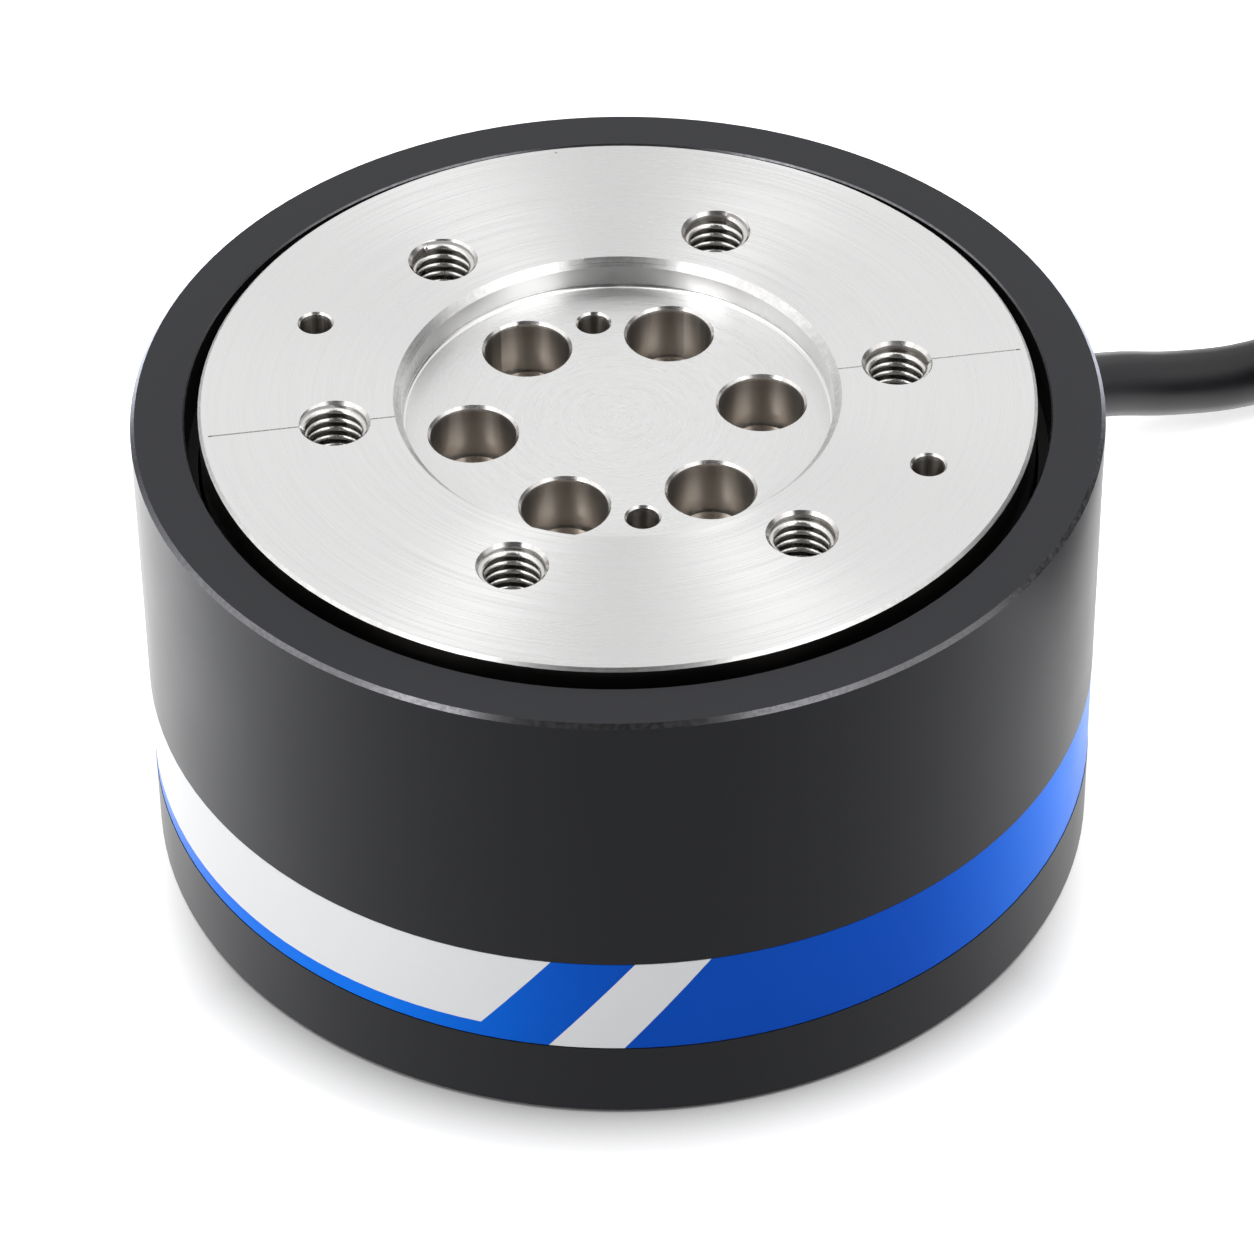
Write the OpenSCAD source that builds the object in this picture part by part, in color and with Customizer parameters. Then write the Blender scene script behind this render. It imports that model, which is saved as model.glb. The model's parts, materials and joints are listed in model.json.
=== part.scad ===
// Six-axis force torque sensor for a robot wrist.
// The robot side is the face at z = 0, the tool side looks up, and the +X axis
// runs through a threaded tool hole and the scribed line on the flange.

/* [Housing] */
// Outside diameter of the housing
housing_d = 90; // [86:0.5:110]
// Height of the housing from the robot face to its top ring
housing_h = 47.5; // [46:0.5:60]
// Width of the top ring around the tool flange
ring_w = 5; // [4.5:0.1:6]
// Wall of the housing below the top ring
wall_t = 3.5; // [3:0.1:4]
// Height of the inward lip under the top ring
lip_h = 5.5; // [4:0.5:7]
// Chamfer on the outer edge of the top ring
ring_chamfer = 0.4; // [0.2:0.1:1]
// Width of the ledge inside the housing that the base is screwed to
ledge_w = 5.5; // [5.3:0.1:5.8]

/* [Label] */
// Height of the label band's lower edge above the robot face
label_z = 8.2; // [6:0.1:12]
// Height of the label band
label_h = 10.5; // [7:0.5:14]
// Thickness of the label film
label_t = 0.3; // [0.2:0.05:0.5]
// Thickness of the blue print that lies in the film
print_t = 0.1; // [0.05:0.01:0.15]
// Height of the thin blue line under the white field
stripe_h = 1.7; // [1:0.1:3]
// Lean of the slanting edges from upright, in degrees
slant = 37; // [20:1:45]

/* [Tool flange] */
// Radial gap between the tool flange and the top ring
flange_gap = 1.3; // [1:0.1:2]
// How far the flange stands above the top ring
flange_proud = 1; // [0.5:0.1:2]
// Thickness of the flange plate
flange_t = 11; // [10.5:0.1:12]
// Chamfer on the flange's rim
flange_chamfer = 0.3; // [0.1:0.1:0.8]
// Diameter of the boss under the flange
boss_d = 40; // [38:0.5:44]
// Height of the boss under the flange
boss_h = 7.5; // [6.5:0.1:8.5]
// Diameter of the pilot recess
pilot_d = 40; // [38:0.5:42]
// Depth of the pilot recess
pilot_depth = 3; // [2:0.1:3.5]
// Chamfer on the pilot recess
pilot_chamfer = 0.7; // [0.3:0.1:1]
// Width of the scribed axis lines
scribe_w = 0.18; // [0.1:0.02:0.3]
// Depth of the scribed axis lines
scribe_depth = 0.06; // [0.04:0.01:0.1]

/* [Tool holes] */
// Pitch circle of the threaded tool holes
tool_pcd = 52.5; // [50:0.5:55]
// Nominal thread diameter of the tool holes
tool_thread_d = 6; // [5:0.5:6]
// Depth of the tool holes
tool_thread_depth = 9.5; // [8:0.5:10]
// Pitch circle of the tool dowel holes
tool_dowel_pcd = 60.5; // [59:0.5:63]
// Diameter of the tool dowel holes
tool_dowel_d = 3; // [2.5:0.5:4]
// Depth of the tool dowel holes
tool_dowel_depth = 6; // [5:0.5:6]

/* [Hub joint] */
// Pitch circle of the screws that hold the flange to the hub
hub_screw_pcd = 27; // [26:0.5:28]
// Thread diameter of the hub screws
hub_screw_d = 4; // [3.5:0.5:4]
// Diameter of the counterbores over the hub screws
counterbore_d = 8; // [7.6:0.1:8.4]
// Depth of the counterbores below the pilot floor
counterbore_depth = 9.3; // [9:0.1:9.6]
// Distance of the hub dowel pins' axes from the hub's edge
hub_pin_inset = 3; // [2.8:0.1:3.6]
// Diameter of the hub dowel pins
hub_pin_d = 3; // [2.5:0.5:3]
// Length of the hub dowel pins
hub_pin_len = 14; // [12:1:14]

/* [Sensing element] */
// Diameter of the central hub
hub_d = 35; // [34:0.5:37]
// Free height between the circuit board's parts and the hub
core_gap = 0.9; // [0.5:0.1:1.5]
// Diameter of the bore through the hub
hub_bore_d = 10; // [6:1:14]
// Width of each beam
beam_w = 6; // [5:0.5:7]
// Step from the hub's top down to the beams
beam_drop = 2; // [1.5:0.5:3]
// Step from the hub's bottom up to the beams
beam_rise = 2; // [1.5:0.5:3]
// Radial width of the element's rim
rim_w = 7; // [6.6:0.1:7.4]
// Thin web left at the end of each beam
web_t = 1.2; // [1:0.1:1.4]
// Width of the relief slot behind each web
slot_w = 1.5; // [1:0.1:1.6]
// Diameter of the overload pins
stop_pin_d = 4; // [3:0.5:4]
// Gap round an overload pin inside the flange
stop_gap = 0.3; // [0.2:0.05:0.4]

/* [Base] */
// Thickness of the base's foot, which fills the housing's bottom
foot_t = 5; // [5:0.1:5.4]
// Thickness of the whole base
base_t = 9.5; // [9.5:0.1:10]
// Diameter of the pilot recess in the robot face
base_pilot_d = 31.5; // [30:0.5:34]
// Depth of the pilot recess in the robot face
base_pilot_depth = 3; // [2:0.5:3]
// Pitch circle of the threaded robot holes
base_pcd = 50; // [48:0.5:50]
// Nominal thread diameter of the robot holes
base_thread_d = 6; // [5:0.5:6]
// Depth of the robot holes
base_thread_depth = 8; // [6:0.5:8]
// Circle of the two robot dowel holes
base_dowel_pcd = 56; // [54:0.5:60]
// Diameter of the robot dowel holes
base_dowel_d = 6; // [4:0.5:6]
// Depth of the robot dowel holes
base_dowel_depth = 6; // [5:0.5:7]
// Thread diameter of the screws from the base into the sensing element
rim_screw_d = 4; // [3:0.5:4]
// Thread diameter of the countersunk screws that hold the housing
housing_screw_d = 3; // [2.5:0.5:3]

/* [Electronics] */
// Height of the standoffs under the circuit board
standoff_h = 5; // [4.5:0.1:5]
// Thickness of the circuit board
board_t = 1.6; // [1:0.1:1.6]

/* [Cable] */
// Diameter of the cable
cable_d = 6.8; // [6:0.1:7]
// Direction of the cable exit round the housing, in degrees
cable_angle = 40; // [36:1:44]
// Height of the cable's axis above the base's top face
cable_rise = 0.5; // [0.3:0.1:0.8]
// Outside diameter of the gland's collar
gland_d = 13.5; // [12:0.5:14]
// Length of the tapered strain relief
relief_len = 9; // [7:0.5:9]
// Middle radius of the coiled length of cable
coil_r = 38; // [37:0.5:39]
// Thickness of the two straps round the coil
strap_t = 1.2; // [0.8:0.1:1.5]
// Width of the straps
strap_w = 10; // [6:1:14]

/* [Hidden] */
$fn = 96;
eps = 0.01;

// Fits and small clearances
fit_gap = 0.1;
thread_gap = 0.05;
screw_gap = 0.25;
pin_gap = 0.01;
film_gap = 0.1;
film_sink = 0.05;

// Housing
housing_r = housing_d / 2;
opening_r = housing_r - ring_w;
cavity_r = housing_r - wall_t;
ledge_r = cavity_r - ledge_w;
lip_z = housing_h - lip_h;
inner_edge = 0.15;

// Tool flange
flange_r = opening_r - flange_gap;
flange_top = housing_h + flange_proud;
plate_z = flange_top - flange_t;
hub_top = plate_z - boss_h;
pilot_z = flange_top - pilot_depth;
seat_z = pilot_z - counterbore_depth;
tool_holes = 6;
hub_holes = 6;
hole_chamfer = 0.3;
dowel_chamfer = 0.2;
tool_dowel_angle = 150;
hub_head_d = 1.75 * hub_screw_d;
hub_screw_end = 2.2;
scribe_margin = 0.8;

// Sensing element: the hub fills the height between the flange and the circuit board
chip_h = 1;
board_z = base_t + standoff_h;
hub_z = board_z + board_t + chip_h + core_gap;
hub_h = hub_top - hub_z;
hub_screw_len = seat_z - hub_z - hub_screw_end;
hub_pin_r = hub_d / 2 - hub_pin_inset;
hub_pin_end_gap = 0.2;
rim_clearance = 0.5;
rim_ro = ledge_r - rim_clearance;
rim_ri = rim_ro - rim_w;
rim_drop = 1;
rim_top = hub_top - rim_drop;
beam_z = hub_z + beam_rise;
beam_h = hub_h - beam_rise - beam_drop;
beam_root = 1;
beams = 3;
beam_start = 90;
slot_half = 12;
slot_drop = 1;
slot_z = beam_z - slot_drop;
stop_start = 30;
stop_r = (rim_ri + rim_ro) / 2;
stop_deep = 8;
stop_z = rim_top - stop_deep;
stop_reach = 2.8;
stop_pocket = 3.5;
gauge_t = 0.2;
gauge_len = 4;
gauge_w = 3;
gauge_r = hub_d / 2 + 1.5;
flex_t = 0.15;
flex_w = 2;

// Base
foot_r = cavity_r - fit_gap;
base_r = ledge_r - fit_gap;
rim_screws_n = 6;
rim_screw_r = (rim_ri + rim_ro) / 2;
rim_head_d = 1.75 * rim_screw_d;
rim_head_gap = 0.5;
rim_seat_floor = 0.4;
rim_seat_z = foot_t - rim_seat_floor;
rim_screw_len = 12;
rim_screw_end = 2;
housing_screws_n = 6;
housing_head_d = 2 * housing_screw_d;
housing_screw_edge = 0.25;
housing_screw_r = foot_r - housing_head_d / 2 - housing_screw_edge;
housing_screw_sink = 0.1;
housing_screw_end = 0.6;
housing_screw_len = base_t - housing_screw_end - housing_screw_sink;
seal_d = 0.9;
seal_z = 3.6;
seal_groove_w = 1.2;

// Electronics
board_edge = 2;
board_r = rim_ri - board_edge;
standoff_inset = 3.5;
standoff_r = board_r - standoff_inset;
standoff_af = 4.5;
stud_len = 2.8;
stud_hole = 3;
board_screw_d = 2.5;
board_screw_head = 1.4;
board_screw_reach = 3.2;
board_thread_depth = 3.6;
chip_r = 14.5;
chip_w = 6;
main_chip_w = 9;
connector_r = 16.5;
connector_len = 6;
connector_w = 8;
connector_h = 3.6;
wire_d = 1.0;
wire_pitch = 1.6;
wire_drop = 3;
wire_z = board_z - wire_drop;

// Cable exit: distances along the exit's own axis
cable_r = cable_d / 2;
cable_z = base_t + cable_rise;
jacket_inset = 3;
jacket_x = rim_ri + jacket_inset;
spot_depth = 0.8;
spot_x = housing_r - spot_depth;
spot_margin = 1.5;
gasket_t = 0.5;
gasket_inset = 0.3;
collar_t = 2.3;
collar_edge = 0.4;
collar_flat = 0.6;
relief_x = spot_x + gasket_t + collar_t;
exit_x = relief_x + relief_len;
gland_bore_r = cable_r + fit_gap;
gland_wall = 1.4;
gland_shank_d = cable_d + 2 * gland_wall;
relief_step = 1.1;
relief_wall = 0.75;
relief_ribs = 4;
relief_rib_gap = 0.7;
relief_rib_depth = 0.55;
passage_gap = 0.3;
passage_r = cable_r + passage_gap;

// Free cable: hand-chosen points as x, y and height over a cable that lies on the floor.
// They are laid out for an exit at lay_angle and turn with the exit.
lay_angle = 40;
cable_route = [
  [50.3, 41.2, 5.6], [58.0, 44.5, 3.3], [65.7, 46.2, 1.1], [73.2, 47.5, 0.1],
  [82.5, 50.1, 0.0], [91.5, 52.6, 0.0], [97.0, 54.1, 0.0], [102.8, 55.7, 0.0]
];
coil_turns_across = 3;
coil_turns_high = 2;
coil_ri = coil_r - coil_turns_across * cable_r;
coil_ro = coil_r + coil_turns_across * cable_r;
coil_z = strap_t;
coil_h = coil_turns_high * cable_d;
coil_edge = 1.4;
// From the route's last point the cable runs on straight, then along the coil's outside
lead_heading = 15;
lead_run = 5;
lead_r = coil_ro + cable_r;
lead_end = cable_route[len(cable_route) - 1];
coil_x = lead_end[0] + lead_run * cos(lead_heading) + lead_r * sin(lead_heading);
coil_y = lead_end[1] + lead_run * sin(lead_heading) - lead_r * cos(lead_heading);
// The end of the cable runs round the coil: angle, gap to the coil, height as above
tail_route = [
  [130, 0.7, 8.0], [113, 0.7, 8.0], [96, 0.8, 8.0], [79, 0.9, 8.0], [62, 1.0, 8.0],
  [45, 1.2, 8.0], [28, 1.5, 8.0], [11, 1.9, 8.0], [-6, 2.4, 8.0], [-22, 3.1, 7.5],
  [-38, 4.0, 6.5], [-54, 5.0, 5.2], [-68, 5.9, 4.3], [-80, 6.7, 4.0], [-84, 7.0, 4.0]
];
strap_angles = [235, 325];

// Plug
tail_points = [for (p = tail_route) tail_point(p)];
plug_at = tail_points[len(tail_points) - 1];
tail_end = plug_at - tail_points[len(tail_points) - 2];
plug_heading = atan2(tail_end[1], tail_end[0]);
plug_body_len = 30;
plug_body_r = 6.8;
plug_neck_len = 12;
plug_neck_r = cable_r + 0.8;
plug_step = 0.6;
plug_nut_r = plug_at[2];
plug_nut_gap = 0.4;
plug_nut_x = plug_body_len + plug_nut_gap;
plug_nut_len = 11;
plug_sleeve_r = 5.9;
plug_sleeve_len = 6;
plug_insert_r = 4.7;
plug_insert_deep = 8;
plug_insert_x = plug_body_len - plug_insert_deep;
plug_pin_r = 0.5;
plug_pin_len = 5;
plug_pin_circle = 2.75;

// Colours
black_anodised = [0.09, 0.09, 0.095];
steel = [0.8, 0.8, 0.8];
aluminium = [0.66, 0.67, 0.69];
dark_steel = [0.25, 0.25, 0.26];
rubber = [0.05, 0.05, 0.05];

// ---------------------------------------------------------------- helpers

// Places children on a circle of n places, turned to face outwards.
module around(n, r, start = 0) {
  for (i = [0:n - 1]) rotate(start + i * 360 / n) translate([r, 0, 0]) children();
}

// A blind or through hole that opens upwards at z, with a chamfered mouth.
module hole_from_top(d, depth, z, chamfer) {
  translate([0, 0, z - depth]) cylinder(d = d, h = depth + eps);
  translate([0, 0, z - chamfer])
    cylinder(d1 = d, d2 = d + 2 * (chamfer + eps), h = chamfer + eps);
}

// The same hole, opening downwards at z.
module hole_from_below(d, depth, z, chamfer) {
  translate([0, 0, z]) mirror([0, 0, 1]) hole_from_top(d, depth, 0, chamfer);
}

// Socket head cap screw: its head stands on z = 0 and its shank points down.
module cap_screw(d, head_d, length) {
  edge = 0.3;
  difference() {
    union() {
      cylinder(d = head_d, h = d - edge);
      translate([0, 0, d - edge]) cylinder(d1 = head_d, d2 = head_d - 2 * edge, h = edge);
      translate([0, 0, -length]) cylinder(d = d, h = length + eps);
    }
    translate([0, 0, d / 2]) cylinder(d = 0.86 * d, h = d, $fn = 6);
  }
}

// Countersunk screw: the flat of its head is z = 0 and its shank points down.
module flat_screw(d, head_d, length) {
  head_h = (head_d - d) / 2;
  difference() {
    union() {
      translate([0, 0, -head_h]) cylinder(d1 = d, d2 = head_d, h = head_h);
      translate([0, 0, -length]) cylinder(d = d, h = length);
    }
    translate([0, 0, -0.4 * d]) cylinder(d = 0.75 * d, h = d, $fn = 6);
  }
}

// Turns children so that their +Z runs outwards along the cable exit.
module on_exit(x = 0) {
  rotate(cable_angle) translate([x, 0, cable_z]) rotate([0, 90, 0]) children();
}

// The way for the cable, from a distance x outwards.
module cable_passage(x) {
  on_exit(x) cylinder(r = passage_r, h = housing_r - 1 - x);
}

// A ring with a plain rectangular section.
module flat_ring(ri, ro, z, h, angle = 360, start = 0) {
  rotate(start) rotate_extrude(angle = angle)
    translate([ri, z]) square([ro - ri, h]);
}

function unit(v) = v / norm(v);
function tangent(p, i) =
  unit(p[min(i + 1, len(p) - 1)] - p[max(i - 1, 0)]);
function side_of(t) = unit(cross(t, [0, 0, 1]));
function ring_at(p, i, r, n) =
  let (t = tangent(p, i), s = side_of(t), u = cross(s, t))
  [for (k = [0:n - 1]) p[i] + r * (cos(360 * k / n) * u + sin(360 * k / n) * s)];

// A round tube swept along route points.
module tube_along(route, r, n) {
  count = len(route);
  points = [for (i = [0:count - 1]) each ring_at(route, i, r, n)];
  sides = [for (i = [0:count - 2], k = [0:n - 1])
    let (a = i * n, b = (i + 1) * n, m = (k + 1) % n) [a + k, a + m, b + m, b + k]];
  start_cap = [for (k = [0:n - 1]) n - 1 - k];
  end_cap = [for (k = [0:n - 1]) (count - 1) * n + k];
  polyhedron(points, concat([start_cap], sides, [end_cap]));
}

// ---------------------------------------------------------------- housing

module housing_profile() {
  groove = label_t + film_sink;
  difference() {
    translate([ledge_r, 0]) square([housing_r - ledge_r, housing_h]);
    translate([0, -1]) square([cavity_r, foot_t + 1]);
    translate([0, base_t]) square([cavity_r, lip_z - base_t]);
    translate([0, lip_z - 1]) square([opening_r, lip_h + 2]);
    translate([housing_r - groove, label_z - film_gap])
      square([groove + 1, label_h + 2 * film_gap]);
    polygon([
      [housing_r - ring_chamfer, housing_h], [housing_r + 1, housing_h],
      [housing_r + 1, housing_h - ring_chamfer - 1], [housing_r, housing_h - ring_chamfer]
    ]);
    polygon([
      [opening_r + inner_edge, housing_h], [opening_r - 1, housing_h],
      [opening_r - 1, housing_h - inner_edge], [opening_r, housing_h - inner_edge]
    ]);
    translate([housing_r, 0]) rotate(45) square(ring_chamfer, center = true);
  }
}

module housing() {
  color(black_anodised) difference() {
    rotate_extrude() housing_profile();
    cable_passage(jacket_x);
    on_exit(cavity_r - 1) cylinder(d = gland_shank_d + 2 * thread_gap, h = wall_t + 2);
    on_exit(spot_x) cylinder(d = gland_d + spot_margin, h = 3);
    around(housing_screws_n, housing_screw_r, 30) translate([0, 0, foot_t - eps])
      cylinder(d = housing_screw_d + 2 * thread_gap,
        h = base_t - foot_t - housing_screw_end + fit_gap);
  }
}

// ------------------------------------------------------------------ label

label_ri = housing_r - film_sink - label_t + pin_gap;
label_ro = housing_r - film_sink;
label_mid = label_z + label_h / 2;
label_break = 14;
label_start = cable_angle + label_break - 360;
label_sweep = 360 - 2 * label_break;
label_end = label_start + label_sweep;
// Angles at which the three slanting edges cross the band's middle line
edge_a = -112.2;
edge_b = -102.5;
edge_c = -93.7;
edge_reach = 12;

// One side of a slanting cut: everything further round than the edge, or before it.
module past_edge(angle, side) {
  size = 2.2 * housing_d;
  translate([0, 0, label_mid]) rotate(angle) rotate([-slant, 0, 0])
    translate([-size / 2, side > 0 ? 0 : -size, -size / 2]) cube(size);
}

// The white fields, cut wide so that they pass through any skin of the band.
module white_fields() {
  ri = housing_r - 2;
  ro = housing_r + 2;
  tall = 2 * label_h;
  low = label_mid - label_h;
  difference() {
    flat_ring(ri, ro, label_z + stripe_h, tall, edge_a + edge_reach - label_start + 2,
      label_start - 2);
    intersection() {
      flat_ring(ri - 1, ro + 1, low, 2 * tall, 3 * edge_reach, edge_a - edge_reach);
      past_edge(edge_a, 1);
    }
  }
  intersection() {
    flat_ring(ri, ro, low, tall, edge_c - edge_b + 2 * edge_reach, edge_b - edge_reach);
    past_edge(edge_b, 1);
    past_edge(edge_c, -1);
  }
}

// The blue fields as a ring of the given radii, run over the film's edges by over.
module blue_fields(ri, ro, over = 0) {
  difference() {
    flat_ring(ri, ro, label_z - over, label_h + 2 * over, label_sweep + 2 * over,
      label_start - over);
    white_fields();
  }
}

module label_film() {
  color("white") difference() {
    flat_ring(label_ri, label_ro, label_z, label_h, label_sweep, label_start);
    blue_fields(label_ro - print_t, label_ro + 1, 1);
  }
}

module label_print() {
  color([0.0, 0.25, 0.7]) blue_fields(label_ro - print_t + pin_gap, label_ro);
}

// --------------------------------------------------------------- gap seal

module gap_seal() {
  seal_h = 1.6;
  lip_t = 0.6;
  lip_w = 1.1;
  reach = 0.3;
  color(rubber) rotate_extrude() polygon([
    [cavity_r - fit_gap, lip_z], [cavity_r - fit_gap, lip_z - seal_h],
    [flange_r + reach + lip_w, lip_z - seal_h], [flange_r + reach + lip_w, lip_z - lip_t],
    [flange_r + reach, lip_z - lip_t], [flange_r + reach, lip_z]
  ]);
}

// ------------------------------------------------------------ tool flange

module scribed_lines() {
  inner = pilot_d / 2;
  outer = flange_r - scribe_margin;
  for (angle = [0, 90, 180]) rotate(angle)
    translate([inner, -scribe_w / 2, flange_top - scribe_depth])
      cube([outer - inner, scribe_w, 1]);
}

module tool_flange() {
  color(steel) difference() {
    union() {
      translate([0, 0, plate_z]) cylinder(r = flange_r, h = flange_t - flange_chamfer);
      translate([0, 0, flange_top - flange_chamfer])
        cylinder(r1 = flange_r, r2 = flange_r - flange_chamfer, h = flange_chamfer);
      translate([0, 0, hub_top]) cylinder(d = boss_d, h = boss_h + eps);
    }
    hole_from_top(pilot_d, pilot_depth, flange_top, pilot_chamfer);
    around(tool_holes, tool_pcd / 2)
      hole_from_top(tool_thread_d, tool_thread_depth, flange_top, hole_chamfer);
    around(2, tool_dowel_pcd / 2, tool_dowel_angle)
      hole_from_top(tool_dowel_d, tool_dowel_depth, flange_top, dowel_chamfer);
    around(hub_holes, hub_screw_pcd / 2) {
      hole_from_top(counterbore_d, counterbore_depth, pilot_z, hole_chamfer - 0.05);
      translate([0, 0, hub_top - 1]) cylinder(d = hub_screw_d + 2 * screw_gap, h = boss_h + 4);
    }
    around(2, hub_pin_r, 90)
      hole_from_top(hub_pin_d, pilot_z - hub_top + 1, pilot_z, dowel_chamfer);
    around(beams, stop_r, stop_start)
      hole_from_below(stop_pin_d + 2 * stop_gap, stop_pocket, plate_z, dowel_chamfer);
    scribed_lines();
  }
}

module hub_screws() {
  color(steel) around(hub_holes, hub_screw_pcd / 2)
    translate([0, 0, seat_z]) rotate(15) cap_screw(hub_screw_d, hub_head_d, hub_screw_len);
}

module hub_dowel_pins() {
  color(dark_steel) around(2, hub_pin_r, 90)
    translate([0, 0, hub_top - hub_pin_len / 2 + hub_pin_end_gap])
      cylinder(d = hub_pin_d - 2 * pin_gap, h = hub_pin_len);
}

// -------------------------------------------------------- sensing element

// The relief slot behind one beam's end, with round ends.
module relief_slot() {
  middle = rim_ri + web_t + slot_w / 2;
  depth = rim_top - slot_z + 1;
  flat_ring(middle - slot_w / 2, middle + slot_w / 2, slot_z, depth, 2 * slot_half, -slot_half);
  for (end = [-1, 1]) rotate(end * slot_half) translate([middle, 0, slot_z])
    cylinder(d = slot_w, h = depth);
}

module sensing_element() {
  color(aluminium) difference() {
    union() {
      translate([0, 0, hub_z]) cylinder(d = hub_d, h = hub_h);
      flat_ring(rim_ri, rim_ro, base_t, rim_top - base_t);
      for (i = [0:beams - 1]) rotate(beam_start + i * 360 / beams)
        translate([hub_d / 2 - beam_root, -beam_w / 2, beam_z])
          cube([rim_ri - hub_d / 2 + beam_root + web_t / 2, beam_w, beam_h]);
    }
    translate([0, 0, hub_z - 1]) cylinder(d = hub_bore_d, h = hub_h + 2);
    around(hub_holes, hub_screw_pcd / 2)
      hole_from_top(hub_screw_d + 2 * thread_gap, hub_h - hub_screw_end / 2, hub_top,
        dowel_chamfer);
    around(2, hub_pin_r, 90)
      hole_from_top(hub_pin_d, hub_pin_len / 2 + hub_pin_end_gap, hub_top, dowel_chamfer);
    around(rim_screws_n, rim_screw_r)
      hole_from_below(rim_screw_d + 2 * thread_gap,
        rim_screw_len - base_t + rim_seat_z + rim_screw_end, base_t, dowel_chamfer);
    around(beams, stop_r, stop_start)
      hole_from_top(stop_pin_d, stop_deep, rim_top, dowel_chamfer);
    for (i = [0:beams - 1]) rotate(beam_start + i * 360 / beams) relief_slot();
    cable_passage(rim_ri - 1);
  }
}

module overload_pins() {
  color(dark_steel) around(beams, stop_r, stop_start) translate([0, 0, stop_z])
    cylinder(d = stop_pin_d - 2 * pin_gap, h = plate_z + stop_reach - stop_z);
}

// Foil gauges on the four long faces of each beam, close to the hub.
module strain_gauges() {
  color([0.85, 0.6, 0.2]) for (i = [0:beams - 1]) rotate(beam_start + i * 360 / beams) {
    for (side = [0, 1]) {
      mirror([0, side, 0]) translate([gauge_r, beam_w / 2, beam_z + beam_h / 2 - gauge_w / 2])
        cube([gauge_len, gauge_t, gauge_w]);
    }
    translate([gauge_r, -gauge_w / 2, beam_z + beam_h]) cube([gauge_len, gauge_w, gauge_t]);
    translate([gauge_r, -gauge_w / 2, beam_z - gauge_t]) cube([gauge_len, gauge_w, gauge_t]);
  }
}

// Flat leads from the side gauges down to the circuit board.
module gauge_flex() {
  foot = board_z + board_t;
  color([0.8, 0.45, 0.1]) for (i = [0:beams - 1], side = [0, 1])
    rotate(beam_start + i * 360 / beams) mirror([0, side, 0])
      translate([gauge_r + 1, beam_w / 2 + gauge_t, foot])
        cube([flex_w, flex_t, beam_z + beam_h / 2 - foot]);
}

// ------------------------------------------------------------------- base

module base_plate() {
  chamfer = 0.4;
  color(black_anodised) difference() {
    union() {
      translate([0, 0, chamfer]) cylinder(r = foot_r, h = foot_t - chamfer);
      cylinder(r1 = foot_r - chamfer, r2 = foot_r, h = chamfer);
      cylinder(r = base_r, h = base_t);
    }
    hole_from_below(base_pilot_d, base_pilot_depth, 0, chamfer);
    around(4, base_pcd / 2, 45)
      hole_from_below(base_thread_d, base_thread_depth, 0, hole_chamfer);
    around(2, base_dowel_pcd / 2, 90)
      hole_from_below(base_dowel_d, base_dowel_depth, 0, dowel_chamfer);
    around(rim_screws_n, rim_screw_r) {
      hole_from_below(rim_head_d + 2 * rim_head_gap, rim_seat_z, 0, dowel_chamfer);
      cylinder(d = rim_screw_d + 2 * screw_gap, h = base_t + 1);
    }
    around(housing_screws_n, housing_screw_r, 30) {
      cylinder(d1 = housing_head_d + 2 * fit_gap, d2 = housing_screw_d + 2 * fit_gap,
        h = (housing_head_d - housing_screw_d) / 2);
      translate([0, 0, -1]) cylinder(d = housing_screw_d + 2 * fit_gap, h = foot_t + 2);
    }
    around(3, standoff_r, 90)
      hole_from_top(board_screw_d + 2 * thread_gap, stud_hole, base_t, dowel_chamfer);
    rotate_extrude() translate([foot_r - seal_d, seal_z - seal_groove_w / 2])
      square([seal_d + 1, seal_groove_w]);
    cable_passage(jacket_x - 0.5);
  }
}

module base_seal() {
  color(rubber) rotate_extrude()
    translate([foot_r - seal_d / 2, seal_z]) circle(d = seal_d - 0.02, $fn = 32);
}

module rim_screws() {
  color(steel) around(rim_screws_n, rim_screw_r) translate([0, 0, rim_seat_z])
    rotate([180, 0, 0]) cap_screw(rim_screw_d, rim_head_d, rim_screw_len);
}

module housing_screws() {
  color(dark_steel) around(housing_screws_n, housing_screw_r, 30)
    translate([0, 0, housing_screw_sink]) rotate([180, 0, 0])
      flat_screw(housing_screw_d, housing_head_d, housing_screw_len);
}

// ------------------------------------------------------------ electronics

module circuit_board() {
  color([0.05, 0.3, 0.15]) difference() {
    translate([0, 0, board_z]) cylinder(r = board_r, h = board_t);
    around(3, standoff_r, 90) translate([0, 0, board_z - 1])
      cylinder(d = board_screw_d + 2 * fit_gap, h = board_t + 2);
  }
}

module board_standoffs() {
  color(steel) around(3, standoff_r, 90) difference() {
    union() {
      translate([0, 0, base_t]) cylinder(d = standoff_af / cos(30), h = standoff_h, $fn = 6);
      translate([0, 0, base_t - stud_len]) cylinder(d = board_screw_d, h = stud_len + eps);
    }
    translate([0, 0, board_z - board_thread_depth])
      cylinder(d = board_screw_d + 2 * thread_gap, h = board_thread_depth + 1);
  }
}

module board_screws() {
  shank = board_t + board_screw_reach;
  color(steel) around(3, standoff_r, 90) translate([0, 0, board_z + board_t]) difference() {
    union() {
      cylinder(d = 1.8 * board_screw_d, h = board_screw_head);
      translate([0, 0, -shank]) cylinder(d = board_screw_d, h = shank + eps);
    }
    translate([0, 0, 0.4 * board_screw_head])
      cylinder(d = 0.7 * board_screw_d, h = board_screw_head, $fn = 6);
  }
}

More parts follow.
